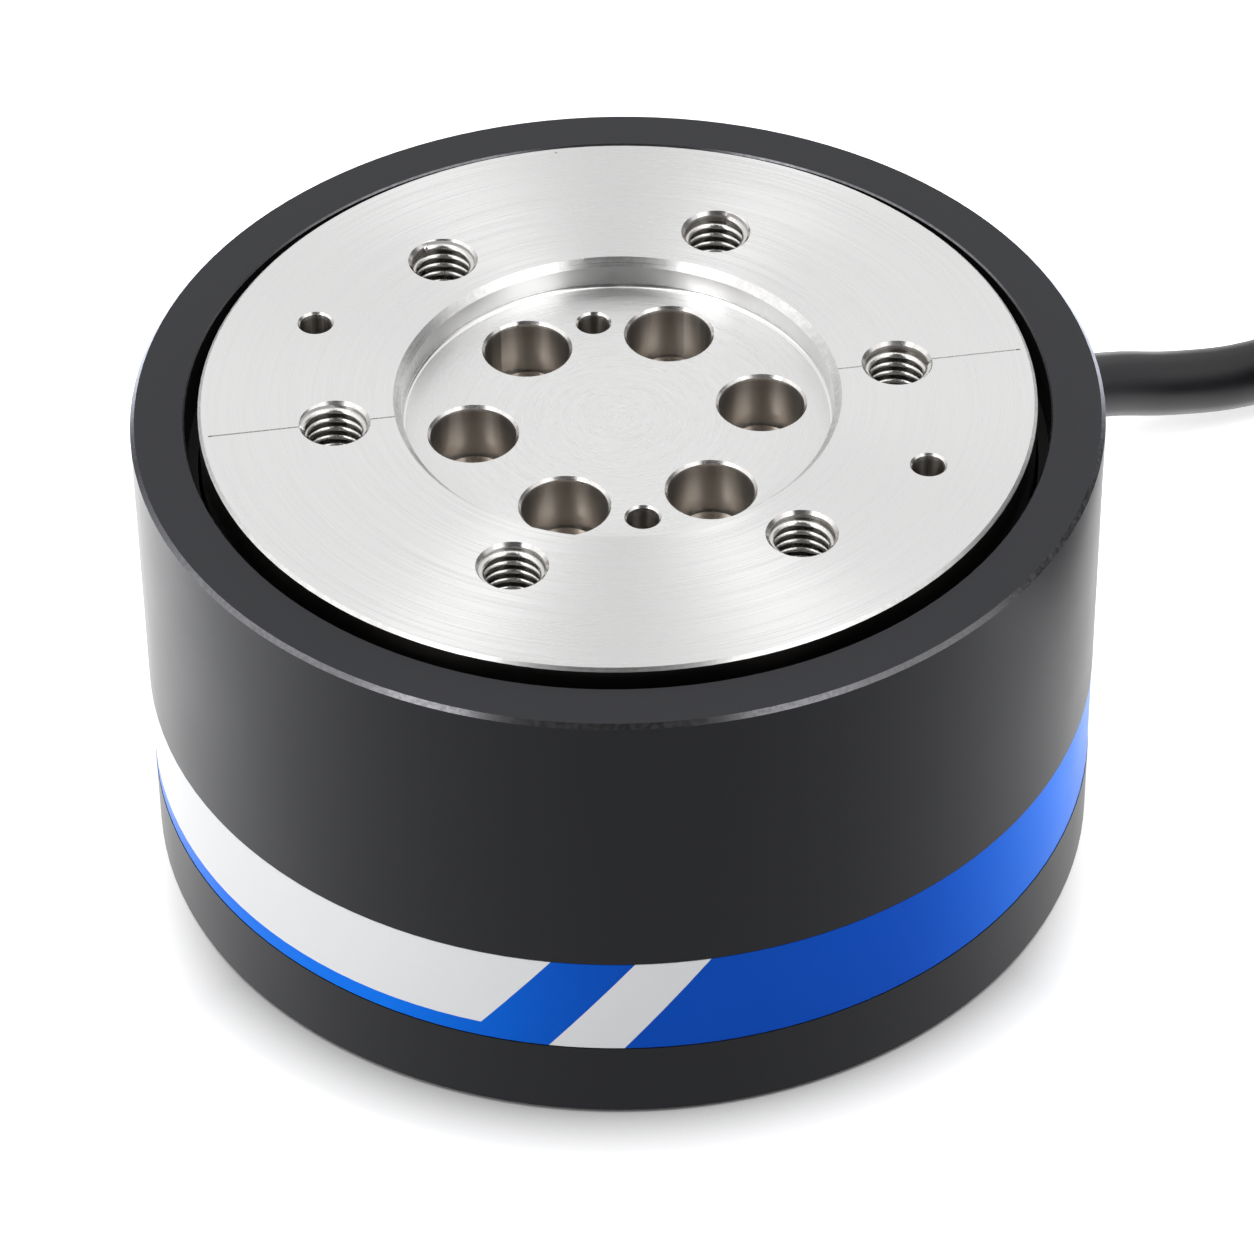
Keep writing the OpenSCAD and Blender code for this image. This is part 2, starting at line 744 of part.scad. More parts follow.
module board_chips() {
  z = board_z + board_t;
  color([0.1, 0.1, 0.1]) {
    translate([-main_chip_w / 2, -main_chip_w / 2, z]) cube([main_chip_w, main_chip_w, chip_h]);
    around(3, chip_r, 30) translate([-chip_w / 2, -chip_w / 2, z])
      cube([chip_w, chip_w, 0.9 * chip_h]);
    around(3, chip_r, 60) for (row = [-1:1])
      translate([-0.8, 0.4 * chip_w * row - 0.6, z]) cube([1.6, 1.2, 0.8 * chip_h]);
  }
}

module board_connector() {
  color([0.9, 0.88, 0.8]) rotate(cable_angle)
    translate([connector_r, -connector_w / 2, board_z - connector_h])
      cube([connector_len, connector_w, connector_h]);
}

module lead_wires() {
  from = connector_r + connector_len;
  color([0.7, 0.1, 0.1]) for (row = [-1.5:1:1.5])
    rotate(cable_angle) translate([from, row * wire_pitch, wire_z]) rotate([0, 90, 0])
      cylinder(d = wire_d, h = jacket_x - from, $fn = 24);
}

// ------------------------------------------------------------ cable gland

module gland_gasket() {
  color(rubber) on_exit(spot_x) difference() {
    cylinder(d = gland_d - gasket_inset, h = gasket_t);
    translate([0, 0, -1]) cylinder(d = gland_shank_d + 2 * thread_gap, h = gasket_t + 2);
  }
}

module gland_body() {
  collar_x = spot_x + gasket_t;
  bore = relief_x - cavity_r + 2;
  color(dark_steel) difference() {
    union() {
      on_exit(collar_x) cylinder(d = gland_d, h = collar_t - collar_edge);
      on_exit(relief_x - collar_edge)
        cylinder(d1 = gland_d, d2 = gland_d - 2 * collar_edge, h = collar_edge);
      on_exit(cavity_r) cylinder(d = gland_shank_d, h = collar_x - cavity_r + eps);
    }
    on_exit(cavity_r - 1) cylinder(r = gland_bore_r, h = bore);
    for (side = [0, 1]) rotate(cable_angle) mirror([0, side, 0])
      translate([collar_x + collar_flat, gland_d / 2 - collar_flat, cable_z - gland_d])
        cube([collar_t, gland_d, 2 * gland_d]);
  }
}

module strain_relief() {
  root_r = gland_d / 2 - relief_step;
  tip_r = cable_r + relief_wall;
  color(rubber) difference() {
    on_exit(relief_x) cylinder(r1 = root_r, r2 = tip_r, h = relief_len);
    on_exit(relief_x - 1) cylinder(r = gland_bore_r, h = relief_len + 2);
    for (i = [1:relief_ribs]) let (share = (i - 0.35) / (relief_ribs + 0.4))
      on_exit(relief_x + share * relief_len) difference() {
        cylinder(r = root_r + 1, h = relief_rib_gap);
        translate([0, 0, -1])
          cylinder(r = root_r + share * (tip_r - root_r) - relief_rib_depth,
            h = relief_rib_gap + 2);
      }
  }
}

// ------------------------------------------------------------------ cable

function along_exit(x) = [x * cos(lay_angle), x * sin(lay_angle), cable_z];
function floor_point(p) = [p[0], p[1], p[2] + cable_r];
function tail_point(p) =
  let (r = coil_ro + cable_r + p[1])
  [coil_x + r * cos(p[0]), coil_y + r * sin(p[0]), p[2] + cable_r];

// Turns the free cable and all that is on it with the exit.
module with_exit() {
  rotate(cable_angle - lay_angle) children();
}

module cable() {
  color(rubber) with_exit() tube_along(
    concat([along_exit(jacket_x), along_exit(housing_r), along_exit(exit_x)],
      [for (p = cable_route) floor_point(p)]),
    cable_r, 10);
}

module at_coil() {
  with_exit() translate([coil_x, coil_y, 0]) children();
}

module coil_section(grow) {
  ri = coil_ri - grow;
  ro = coil_ro + grow;
  low = coil_z - grow;
  high = coil_z + coil_h + grow;
  polygon([
    [ri + coil_edge, low], [ro - coil_edge, low], [ro, low + coil_edge],
    [ro, high - coil_edge], [ro - coil_edge, high], [ri + coil_edge, high],
    [ri, high - coil_edge], [ri, low + coil_edge]
  ]);
}

module cable_coil() {
  color(rubber) at_coil() rotate_extrude() coil_section(0);
}

module cable_tail() {
  color(rubber) with_exit() tube_along(tail_points, cable_r, 10);
}

module coil_straps() {
  half = 180 * strap_w / 2 / (PI * coil_r);
  color([0.15, 0.15, 0.15]) at_coil() for (angle = strap_angles)
    rotate(angle - half) rotate_extrude(angle = 2 * half) difference() {
      coil_section(strap_t);
      coil_section(0);
    }
}

// ------------------------------------------------------------------- plug

// Turns children so that their +Z runs out along the plug.
module on_plug(x = 0) {
  with_exit() translate(plug_at) rotate(plug_heading) translate([x, 0, 0]) rotate([0, 90, 0])
    children();
}

module plug_body() {
  waist_r = plug_body_r - plug_step;
  shoulder = plug_neck_len + 2 * plug_step;
  color(rubber) difference() {
    union() {
      on_plug() cylinder(r1 = plug_neck_r, r2 = waist_r, h = plug_neck_len);
      on_plug(plug_neck_len - eps) cylinder(r = waist_r, h = 2 * plug_step + 2 * eps);
      on_plug(shoulder) cylinder(r = plug_body_r, h = plug_body_len - shoulder);
    }
    for (i = [0:2]) on_plug((0.2 + 0.25 * i) * plug_neck_len) difference() {
      cylinder(r = plug_body_r + 1, h = 0.1 * plug_neck_len);
      translate([0, 0, -1])
        cylinder(r = plug_neck_r - 0.2 + 0.45 * i, h = 0.1 * plug_neck_len + 2);
    }
    for (i = [0:11]) on_plug(shoulder + 0.25 * (plug_body_len - shoulder)) rotate(15 + 30 * i)
      translate([plug_body_r + 0.5, 0, 0])
        cylinder(r = 0.9, h = 0.6 * (plug_body_len - shoulder), $fn = 24);
    on_plug(plug_insert_x) cylinder(r = plug_insert_r, h = plug_body_len);
  }
}

module plug_nut() {
  flutes = 20;
  edge = 0.5;
  color(steel) difference() {
    union() {
      on_plug(plug_nut_x) cylinder(r1 = plug_nut_r - edge, r2 = plug_nut_r, h = edge);
      on_plug(plug_nut_x + edge) cylinder(r = plug_nut_r, h = plug_nut_len - 2 * edge);
      on_plug(plug_nut_x + plug_nut_len - edge)
        cylinder(r1 = plug_nut_r, r2 = plug_nut_r - edge, h = edge);
      on_plug(plug_nut_x + plug_nut_len - eps) cylinder(r = plug_sleeve_r, h = plug_sleeve_len);
    }
    on_plug(plug_nut_x - 1)
      cylinder(r = plug_insert_r + fit_gap, h = plug_nut_len + plug_sleeve_len + 2);
    for (i = [0:flutes - 1]) on_plug(plug_nut_x - 1) rotate(9 + 360 * i / flutes)
      translate([plug_nut_r + 0.45, 0, 0]) cylinder(r = 0.75, h = plug_nut_len + 2, $fn = 24);
  }
}

module plug_insert() {
  color([0.1, 0.1, 0.1]) on_plug(plug_insert_x + eps)
    cylinder(r = plug_insert_r - 0.02, h = plug_nut_x + plug_nut_len - plug_insert_x);
}

module plug_pins() {
  tip = plug_nut_x + plug_nut_len + eps;
  color([0.85, 0.65, 0.2]) {
    on_plug(tip) cylinder(r = plug_pin_r, h = plug_pin_len, $fn = 24);
    for (i = [0:6]) on_plug(tip) rotate(360 * i / 7) translate([plug_pin_circle, 0, 0])
      cylinder(r = plug_pin_r, h = plug_pin_len, $fn = 24);
  }
}

housing();
label_film();
label_print();
gap_seal();
tool_flange();
hub_screws();
hub_dowel_pins();
sensing_element();
overload_pins();
strain_gauges();
gauge_flex();
base_plate();
base_seal();
rim_screws();
housing_screws();
circuit_board();
board_standoffs();
board_screws();
board_chips();
board_connector();
lead_wires();
gland_gasket();
gland_body();
strain_relief();
cable();
cable_coil();
cable_tail();
coil_straps();
plug_body();
plug_nut();
plug_insert();
plug_pins();
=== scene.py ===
"""A six-axis force torque sensor for a robot wrist, dressed for a plain studio.

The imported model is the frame: its solids stay where they are and get their finishes here.
New pieces are the threads in the tapped holes, the fillet at the foot of the pilot recess, and
the cable with its coil. Lengths in the pieces' classes are in millimetres, and turn into metres
in the meshes.
"""

from __future__ import annotations

import json
import logging
import math
from abc import ABC, abstractmethod
from dataclasses import dataclass, field
from enum import Enum
from typing import Union

import bmesh
import bpy
from mathutils import Matrix, Vector

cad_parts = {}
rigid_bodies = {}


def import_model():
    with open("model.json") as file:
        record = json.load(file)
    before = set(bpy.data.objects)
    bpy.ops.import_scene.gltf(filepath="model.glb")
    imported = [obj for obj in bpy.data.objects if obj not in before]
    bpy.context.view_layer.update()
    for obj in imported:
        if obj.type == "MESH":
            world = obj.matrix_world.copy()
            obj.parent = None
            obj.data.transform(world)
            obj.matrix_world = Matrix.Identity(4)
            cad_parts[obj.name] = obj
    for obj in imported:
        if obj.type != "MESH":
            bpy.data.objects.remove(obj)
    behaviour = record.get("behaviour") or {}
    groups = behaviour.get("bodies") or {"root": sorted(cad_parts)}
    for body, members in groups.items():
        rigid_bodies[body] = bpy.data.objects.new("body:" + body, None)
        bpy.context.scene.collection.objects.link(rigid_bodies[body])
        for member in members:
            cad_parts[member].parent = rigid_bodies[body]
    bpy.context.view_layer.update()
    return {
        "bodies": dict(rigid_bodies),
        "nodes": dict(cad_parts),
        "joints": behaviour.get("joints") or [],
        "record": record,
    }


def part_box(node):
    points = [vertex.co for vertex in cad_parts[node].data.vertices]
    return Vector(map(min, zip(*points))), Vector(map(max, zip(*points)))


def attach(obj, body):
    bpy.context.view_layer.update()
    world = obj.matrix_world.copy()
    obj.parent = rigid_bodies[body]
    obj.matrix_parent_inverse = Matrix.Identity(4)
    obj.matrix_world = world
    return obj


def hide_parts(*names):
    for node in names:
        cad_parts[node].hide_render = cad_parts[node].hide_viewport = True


LOG = logging.getLogger("sensor")
MM = 0.001
BODY = "root"
WHITE = (1.0, 1.0, 1.0, 1.0)
Point = tuple[float, float, float]
Colour = tuple[float, float, float]
Range = tuple[float, float]
Node = bpy.types.Node
Socket = bpy.types.NodeSocket
Value = Union[Node, Socket, float, tuple]


def direction(azimuth: float, elevation: float = 0.0) -> Vector:
    """Gives the unit vector that points to an azimuth and elevation in degrees."""
    turn, lift = math.radians(azimuth), math.radians(elevation)
    return Vector((math.cos(lift) * math.cos(turn), math.cos(lift) * math.sin(turn),
                   math.sin(lift)))


def scaled(colour: Colour, factor: float) -> Colour:
    """Makes a colour darker or lighter by a factor."""
    return tuple(factor * part for part in colour)


# ---- node graphs


class Graph:
    """A material's or the world's node tree, with short calls to fill it."""

    def __init__(self, tree: bpy.types.NodeTree) -> None:
        """Clears a node tree and keeps it.

        Args:
            tree: the node tree to fill.
        """
        self.tree = tree
        tree.nodes.clear()

    def add(self, kind: str, settings: dict[str, object] | None = None,
            **inputs: Value) -> Node:
        """Adds a node, sets its properties, and fills or links its inputs.

        Args:
            kind: the node's type name, without the ShaderNode prefix.
            settings: properties of the node, by name.
            **inputs: its inputs, named as in fill().

        Returns:
            The new node.
        """
        node = self.tree.nodes.new("ShaderNode" + kind)
        for key, value in (settings or {}).items():
            setattr(node, key, value)
        self.fill(node, **inputs)
        return node

    def fill(self, node: Node, **inputs: Value) -> None:
        """Sets or links a node's inputs.

        Args:
            node: the node.
            **inputs: values, sockets or nodes, each named by the input's number (in0, ...)
                or by its name with _ for a space.
        """
        for key, value in inputs.items():
            numbered = key.startswith("in") and key[2:].isdigit()
            target = node.inputs[int(key[2:]) if numbered else key.replace("_", " ")]
            if isinstance(value, Node):
                self.tree.links.new(value.outputs[0], target)
            elif isinstance(value, Socket):
                self.tree.links.new(value, target)
            else:
                target.default_value = value

    def math(self, operation: str, a: Value, b: Value = 0.0, c: Value = 0.0) -> Node:
        """Adds a math node with up to three values."""
        return self.add("Math", {"operation": operation}, in0=a, in1=b, in2=c)

    def vector(self, operation: str, a: Value, b: Value = (0.0, 0.0, 0.0)) -> Node:
        """Adds a vector math node with one or two vectors."""
        return self.add("VectorMath", {"operation": operation}, in0=a, in1=b)

    def ramp(self, value: Value, low: float, high: float, to_low: float,
             to_high: float) -> Socket:
        """Maps a value's range onto another, held at both ends.

        Args:
            value: the value or socket.
            low: where the range starts.
            high: where the range ends.
            to_low: the result at low.
            to_high: the result at high.

        Returns:
            The result's socket.
        """
        node = self.add("MapRange", {"clamp": True}, Value=value, From_Min=low, From_Max=high,
                        To_Min=to_low, To_Max=to_high)
        return node.outputs["Result"]

    def band(self, value: Value, rise: Range, fall: Range, level: float = 1.0) -> Node:
        """Gives a level between two soft limits of a value, and 0 outside them.

        Args:
            value: the value's socket.
            rise: the range in which the level is reached.
            fall: the range in which it is lost again.
            level: the level between them.

        Returns:
            The node.
        """
        return self.math("MULTIPLY", self.ramp(value, *rise, 0.0, level),
                         self.ramp(value, *fall, 1.0, 0.0))

    def vary(self, noise: Value, middle: float, below: float, above: float) -> Socket:
        """Lets a number swing with a noise, from below its middle to above it."""
        return self.ramp(noise, 0.3, 0.7, middle - below, middle + above)

    def blend(self, first: Value, second: Value, share: float) -> Node:
        """Adds a share of one value to the rest of another."""
        return self.math("ADD", self.math("MULTIPLY", first, share),
                         self.math("MULTIPLY", second, 1.0 - share))

    def scale_where(self, value: Value, share: Value, factor: float) -> Node:
        """Multiplies a value by a factor where a share is 1, and not where it is 0."""
        return self.math("MULTIPLY", value, self.ramp(share, 0.0, 1.0, 1.0, factor))

    def tint(self, share: Value, dark: Value, light: Value) -> Socket:
        """Mixes two colours by a value from 0 to 1.

        Args:
            share: the value's socket.
            dark: the colour at 0, as r, g, b or a socket.
            light: the colour at 1, as r, g, b or a socket.

        Returns:
            The colour's socket.
        """
        dark, light = ((*colour, 1.0) if isinstance(colour, tuple) else colour
                       for colour in (dark, light))
        return self.add("Mix", {"data_type": "RGBA"}, Factor=share, in6=dark,
                        in7=light).outputs[2]

    def noise(self, scale: float, vector: Value | None = None, detail: float = 2.0,
              roughness: float = 0.5) -> Socket:
        """Adds a noise texture.

        Args:
            scale: its scale in the vector's units.
            vector: the coordinates, or None for the object's.
            detail: its octaves.
            roughness: how strong the fine octaves are.

        Returns:
            The socket with its value from 0 to 1.
        """
        if vector is None:
            vector = self.place()
        node = self.add("TexNoise", Vector=vector, Scale=scale, Detail=detail, Roughness=roughness)
        return node.outputs["Fac"]

    def bump(self, height: Value, distance: float, under: Socket | None = None) -> Socket:
        """Adds a bump node.

        Args:
            height: the height's socket, from 0 to 1.
            distance: the height of 1, in metres.
            under: a normal that this bump lies on.

        Returns:
            The normal's socket.
        """
        node = self.add("Bump", Height=height, Distance=distance, Strength=1.0)
        if under is not None:
            self.fill(node, Normal=under)
        return node.outputs["Normal"]

    def place(self) -> Socket:
        """Gives the object's own coordinates, in metres."""
        return self.add("TexCoord").outputs["Object"]

    def height(self) -> Socket:
        """Gives the height in the object's own coordinates, in metres."""
        return self.add("SeparateXYZ", in0=self.place()).outputs["Z"]

    def radius(self) -> Socket:
        """Gives the distance from the object's Z axis, in metres."""
        flat = self.vector("MULTIPLY", self.place(), (1.0, 1.0, 0.0))
        return self.vector("LENGTH", flat).outputs["Value"]

    def rings(self, radial: float, around: float) -> Node:
        """Gives coordinates that run in rings round the object's Z axis.

        Args:
            radial: how fast they change outwards, per metre.
            around: how fast they change along a ring, per turn.

        Returns:
            A node with the radius, and two values that go round.
        """
        split = self.add("SeparateXYZ", in0=self.place())
        radius = self.radius()
        safe = self.math("MAXIMUM", radius, 1e-5)
        side, depth = (self.math("MULTIPLY", self.math("DIVIDE", split.outputs[axis], safe), around)
                       for axis in "XY")
        return self.add("CombineXYZ", X=self.math("MULTIPLY", radius, radial), Y=side, Z=depth)

    def facing(self) -> Socket:
        """Gives the way that the surface faces."""
        return self.add("TexCoord").outputs["Normal"]

    def slope(self) -> Socket:
        """Gives 1 on faces that look up, 0 on upright ones and -1 on those that look down."""
        return self.add("SeparateXYZ", in0=self.facing()).outputs["Z"]

    def chamfers(self) -> Node:
        """Gives 1 on faces that slope as an upper chamfer does, and 0 elsewhere."""
        return self.band(self.slope(), (0.35, 0.5), (0.86, 0.95))

    def along(self, place: Value, azimuth: float) -> Socket:
        """Gives how far a place or direction reaches along an azimuth in degrees."""
        return self.vector("DOT_PRODUCT", place, tuple(direction(azimuth))).outputs["Value"]

    def towards(self, place: Value, azimuth: float) -> Socket:
        """Gives 1 where a place lies right towards an azimuth in degrees, and -1 away from it."""
        flat = self.vector("MULTIPLY", place, (1.0, 1.0, 0.0))
        return self.along(self.vector("NORMALIZE", flat), azimuth)


# ---- finishes


class Finish(ABC):
    """A surface finish that makes its material once.

    Its lengths are in metres, and the scales of its noises per metre.
    """

    name: str

    @abstractmethod
    def fill(self, graph: Graph, shader: Node) -> None:
        """Fills the shader's inputs.

        Args:
            graph: the material's fresh graph.
            shader: its shader.
        """

    def material(self) -> bpy.types.Material:
        """Makes the material, or gives the one that was made before.

        Returns:
            The finish's material.
        """
        title = "finish_" + self.name
        known = bpy.data.materials.get(title)
        if known is not None:
            return known
        made = bpy.data.materials.new(title)
        made.use_nodes = True
        graph = Graph(made.node_tree)
        shader = graph.add("BsdfPrincipled")
        graph.add("OutputMaterial", Surface=shader)
        self.fill(graph, shader)
        return made


@dataclass(frozen=True)
class Anodised(Finish):
    """Dyed anodised aluminium over a fine blasted grain, with brighter cut edges."""

    name: str
    colour: Colour = (0.009, 0.009, 0.0102)
    edge: Colour = (0.17, 0.17, 0.18)
    shades: Range = (0.85, 1.2)
    roughness: float = 0.36
    swing: Range = (0.03, 0.03)
    edge_rough: float = 0.5
    clouds: float = 55.0
    grain: float = 7000.0
    depth: float = 2.2e-6
    nicks: float = 2200.0
    shine: float = 0.42
    shine_tint: Colour = (0.87, 0.895, 1.0)

    def fill(self, graph: Graph, shader: Node) -> None:
        """Fills the shader: grain in the bump, clouds in the dye, and nearly bare cut edges.

        Args:
            graph: the material's fresh graph.
            shader: its shader.
        """
        cloud = graph.noise(self.clouds, detail=3.0)
        grain = graph.noise(self.grain, detail=1.0)
        dark, light = (scaled(self.colour, shade) for shade in self.shades)
        dyed = graph.tint(graph.blend(cloud, grain, 0.5), dark, light)
        nicked = graph.ramp(graph.noise(self.nicks), 0.35, 0.6, 0.8, 1.0)
        cut = graph.math("MULTIPLY", graph.chamfers(), nicked)
        gloss = graph.vary(cloud, self.roughness, *self.swing)
        graph.fill(shader, Base_Color=graph.tint(cut, dyed, self.edge), Metallic=cut,
                   Roughness=graph.scale_where(gloss, cut, self.edge_rough),
                   Specular_IOR_Level=self.shine, Specular_Tint=(*self.shine_tint, 1.0),
                   Normal=graph.bump(grain, self.depth))


@dataclass(frozen=True)
class Zones:
    """A turned piece's tool marks, and its zones, each 1 on the zone and 0 off it."""

    marks: Value
    wall: Value
    edge: Value
    sloped: Value
    rim: Value


@dataclass(frozen=True)
class Turned(Finish):
    """Bare metal turned on a lathe: fine rings round the axis, and a stretched shine.

    Drilled walls get a dark colour that is painted shade, made lighter low in the holes by
    painted light, and their shine is stretched round each hole. The holes' rims are smoother,
    and the outer wall, seen through the gap to the housing, gets the same painted shade.
    """

    name: str
    colour: Colour = (0.80, 0.798, 0.795)
    # Painted shade: the dark colour of the walls in the holes and of the outer wall.
    shaded_bore: Colour = (0.32, 0.295, 0.27)
    rim: Colour = (0.70, 0.685, 0.67)
    shades: Range = (0.89, 1.10)
    # Painted light: how much lighter the walls' colour turns low in the holes.
    painted_light_deep: float = 2.1
    roughness: float = 0.30
    swing: Range = (0.07, 0.07)
    bore_rough: float = 1.15
    rim_rough: float = 0.6
    anisotropy: float = 0.93
    quarter: float = 0.25
    pitch: float = 9000.0
    depth: float = 0.6e-6
    recess_r: float = 0.0203
    recess_rim: float = 0.001
    recess_floor: float = 0.0452
    face: float = 0.0481
    outer_r: float = 0.0375
    deep: Range = (0.0045, 0.001)
    mouth: Range = (-0.0001, 0.0003)
    chatter: float = 1600.0
    stray: float = 9000.0
    stray_most: float = 12.0
    stray_reach: Range = (0.003, 0.019)
    groove: float = 0.00034
    groove_depth: float = 2.4e-6
    groove_reach: Range = (0.002, 0.011)
    frost: float = 6000.0
    frost_depth: float = 6.0e-6
    frost_reach: Range = (0.006, 0.021)

    def below_faces(self, graph: Graph) -> Socket:
        """Tells what lies under the face, or in the recess under its floor.

        Args:
            graph: the material's graph.

        Returns:
            A value from 0 on them to 1 below.
        """
        outside = graph.math("GREATER_THAN", graph.radius(), self.recess_r)
        level = graph.math("MULTIPLY_ADD", outside, self.face - self.recess_floor,
                           self.recess_floor)
        return graph.ramp(graph.math("SUBTRACT", level, graph.height()), *self.mouth, 0.0, 1.0)

    def zones(self, graph: Graph) -> Zones:
        """Lays the tool marks, and finds the walls, the chamfers and the holes' rims.

        Args:
            graph: the material's graph.

        Returns:
            The zones.
        """
        rings = graph.noise(1.0, graph.rings(self.pitch, 0.9), roughness=0.6)
        arcs = graph.noise(1.0, graph.rings(self.pitch * 0.3, 3.5))
        radius = graph.radius()
        upright = graph.ramp(graph.math("ABSOLUTE", graph.slope()), 0.15, 0.4, 1.0, 0.0)
        within = graph.math("LESS_THAN", radius, self.outer_r)
        shaded_bore = graph.math("MULTIPLY", self.below_faces(graph), upright)
        sloped = graph.chamfers()
        recess = graph.math("COMPARE", radius, self.recess_r, self.recess_rim)
        holes = graph.math("MULTIPLY", graph.math("SUBTRACT", 1.0, recess), within)
        return Zones(marks=graph.blend(rings, arcs, 0.7),
                     wall=graph.math("MULTIPLY", shaded_bore, within),
                     edge=graph.math("MULTIPLY", upright, graph.math("SUBTRACT", 1.0, within)),
                     sloped=sloped, rim=graph.math("MULTIPLY", sloped, holes))

    def paint(self, graph: Graph, zones: Zones) -> Socket:
        """Gives the colour of the faces, the walls and the rims, with painted shade on the walls.

        Args:
            graph: the material's graph.
            zones: its zones.

        Returns:
            The colour's socket.
        """
        dark, light = (scaled(self.colour, shade) for shade in self.shades)
        face = graph.tint(zones.rim, graph.tint(zones.marks, dark, light), self.rim)
        # Painted shade on the walls, which painted light makes lighter low in the holes.
        low, high = (self.recess_floor - drop for drop in self.deep)
        inner = graph.tint(graph.ramp(graph.height(), low, high, 1.0, 0.0), self.shaded_bore,
                           scaled(self.shaded_bore, self.painted_light_deep))
        chatter = graph.noise(self.chatter, roughness=0.7)
        tone_and_shade = graph.math("MULTIPLY", zones.sloped, graph.ramp(chatter, 0.40, 0.62, 0.2, 0.0))
        walls = graph.math("MAXIMUM", zones.wall, zones.edge)
        return graph.tint(graph.math("MAXIMUM", walls, tone_and_shade), face, inner)

    def gloss(self, graph: Graph, zones: Zones) -> Node:
        """Gives the roughness, with smoother rims and outer wall and rougher drilled walls.

        Args:
            graph: the material's graph.
            zones: its zones.

        Returns:
            The roughness.
        """
        smooth = graph.math("MAXIMUM", zones.rim, zones.edge)
        gloss = graph.vary(zones.marks, self.roughness, *self.swing)
        gloss = graph.scale_where(gloss, smooth, self.rim_rough)
        return graph.scale_where(gloss, zones.wall, self.bore_rough)

    def grain_way(self, graph: Graph, zones: Zones) -> Socket:
        """Gives the grain's way: in rings, astray near the axis, and round drilled walls.

        Args:
            graph: the material's graph.
            zones: its zones.

        Returns:
            The way's socket.
        """
        tangent = graph.add("Tangent", {"direction_type": "RADIAL", "axis": "Z"})
        noise = graph.add("TexNoise", Vector=graph.place(), Scale=self.stray, Detail=0.0)
        astray = graph.vector("SCALE", graph.vector("SUBTRACT", noise.outputs["Color"],
                                                    (0.5, 0.5, 0.5)))
        graph.fill(astray, Scale=graph.ramp(graph.radius(), *self.stray_reach, self.stray_most,
                                            0.0))
        lathe = graph.vector("ADD", tangent, astray)
        drill = graph.vector("CROSS_PRODUCT", graph.facing(), (0.0, 0.0, 1.0))
        return graph.add("Mix", {"data_type": "VECTOR"}, Factor=zones.wall, in4=lathe,
                         in5=drill).outputs[1]

    def relief(self, graph: Graph, zones: Zones) -> Socket:
        """Gives the bumps: grooves and frost near the axis, and tool marks all over.

        Args:
            graph: the material's graph.
            zones: its zones.

        Returns:
            The normal's socket.
        """
        radius = graph.radius()
        wave = graph.math("SINE", graph.math("MULTIPLY", radius, math.tau / self.groove))
        faded = graph.math("MULTIPLY", wave, graph.ramp(radius, *self.groove_reach, 0.5, 0.0))
        grooved = graph.bump(graph.math("ADD", faded, 0.5), self.groove_depth)
        frost = graph.math("MULTIPLY", graph.noise(self.frost, detail=1.0),
                           graph.ramp(radius, *self.frost_reach, 1.0, 0.0))
        frosted = graph.bump(frost, self.frost_depth, under=grooved)
        return graph.bump(zones.marks, self.depth, under=frosted)

    def fill(self, graph: Graph, shader: Node) -> None:
        """Fills the shader: ring lines in colour, gloss and bump, and a shine across them.

        Args:
            graph: the material's fresh graph.
            shader: its shader.
        """
        zones = self.zones(graph)
        graph.fill(shader, Base_Color=self.paint(graph, zones), Metallic=1.0,
                   Roughness=self.gloss(graph, zones), Anisotropic=self.anisotropy,
                   Anisotropic_Rotation=self.quarter, Tangent=self.grain_way(graph, zones),
                   Normal=self.relief(graph, zones))


@dataclass(frozen=True)
class Even(Finish):
    """An even surface with a fine grain: moulded plastic or rubber, unless it is changed."""

    name: str
    colour: Colour
    roughness: float = 0.5
    grain: float = 2600.0
    depth: float = 3.0e-6
    shine: float = 0.5
    metallic: float = 0.0
    clouds: float = 160.0
    shades: Range = (0.82, 1.15)
    swing: Range = (0.04, 0.05)

    def fill(self, graph: Graph, shader: Node) -> None:
        """Fills the shader: grain in bump, faint clouds in colour and gloss.

        Args:
            graph: the material's fresh graph.
            shader: its shader.
        """
        cloud = graph.noise(self.clouds, detail=3.0)
        dark, light = (scaled(self.colour, shade) for shade in self.shades)
        graph.fill(shader, Base_Color=graph.tint(cloud, dark, light), Metallic=self.metallic,
                   Roughness=graph.vary(cloud, self.roughness, *self.swing),
                   Specular_IOR_Level=self.shine,
                   Normal=graph.bump(graph.noise(self.grain), self.depth))


@dataclass(frozen=True)
class Metal(Even):
    """Bare or plated metal with a fine even grain and faint stains."""

    roughness: float = 0.25
    grain: float = 3500.0
    depth: float = 1.0e-6
    metallic: float = 1.0
    clouds: float = 420.0
    shades: Range = (0.86, 1.0)
    swing: Range = (0.05, 0.06)


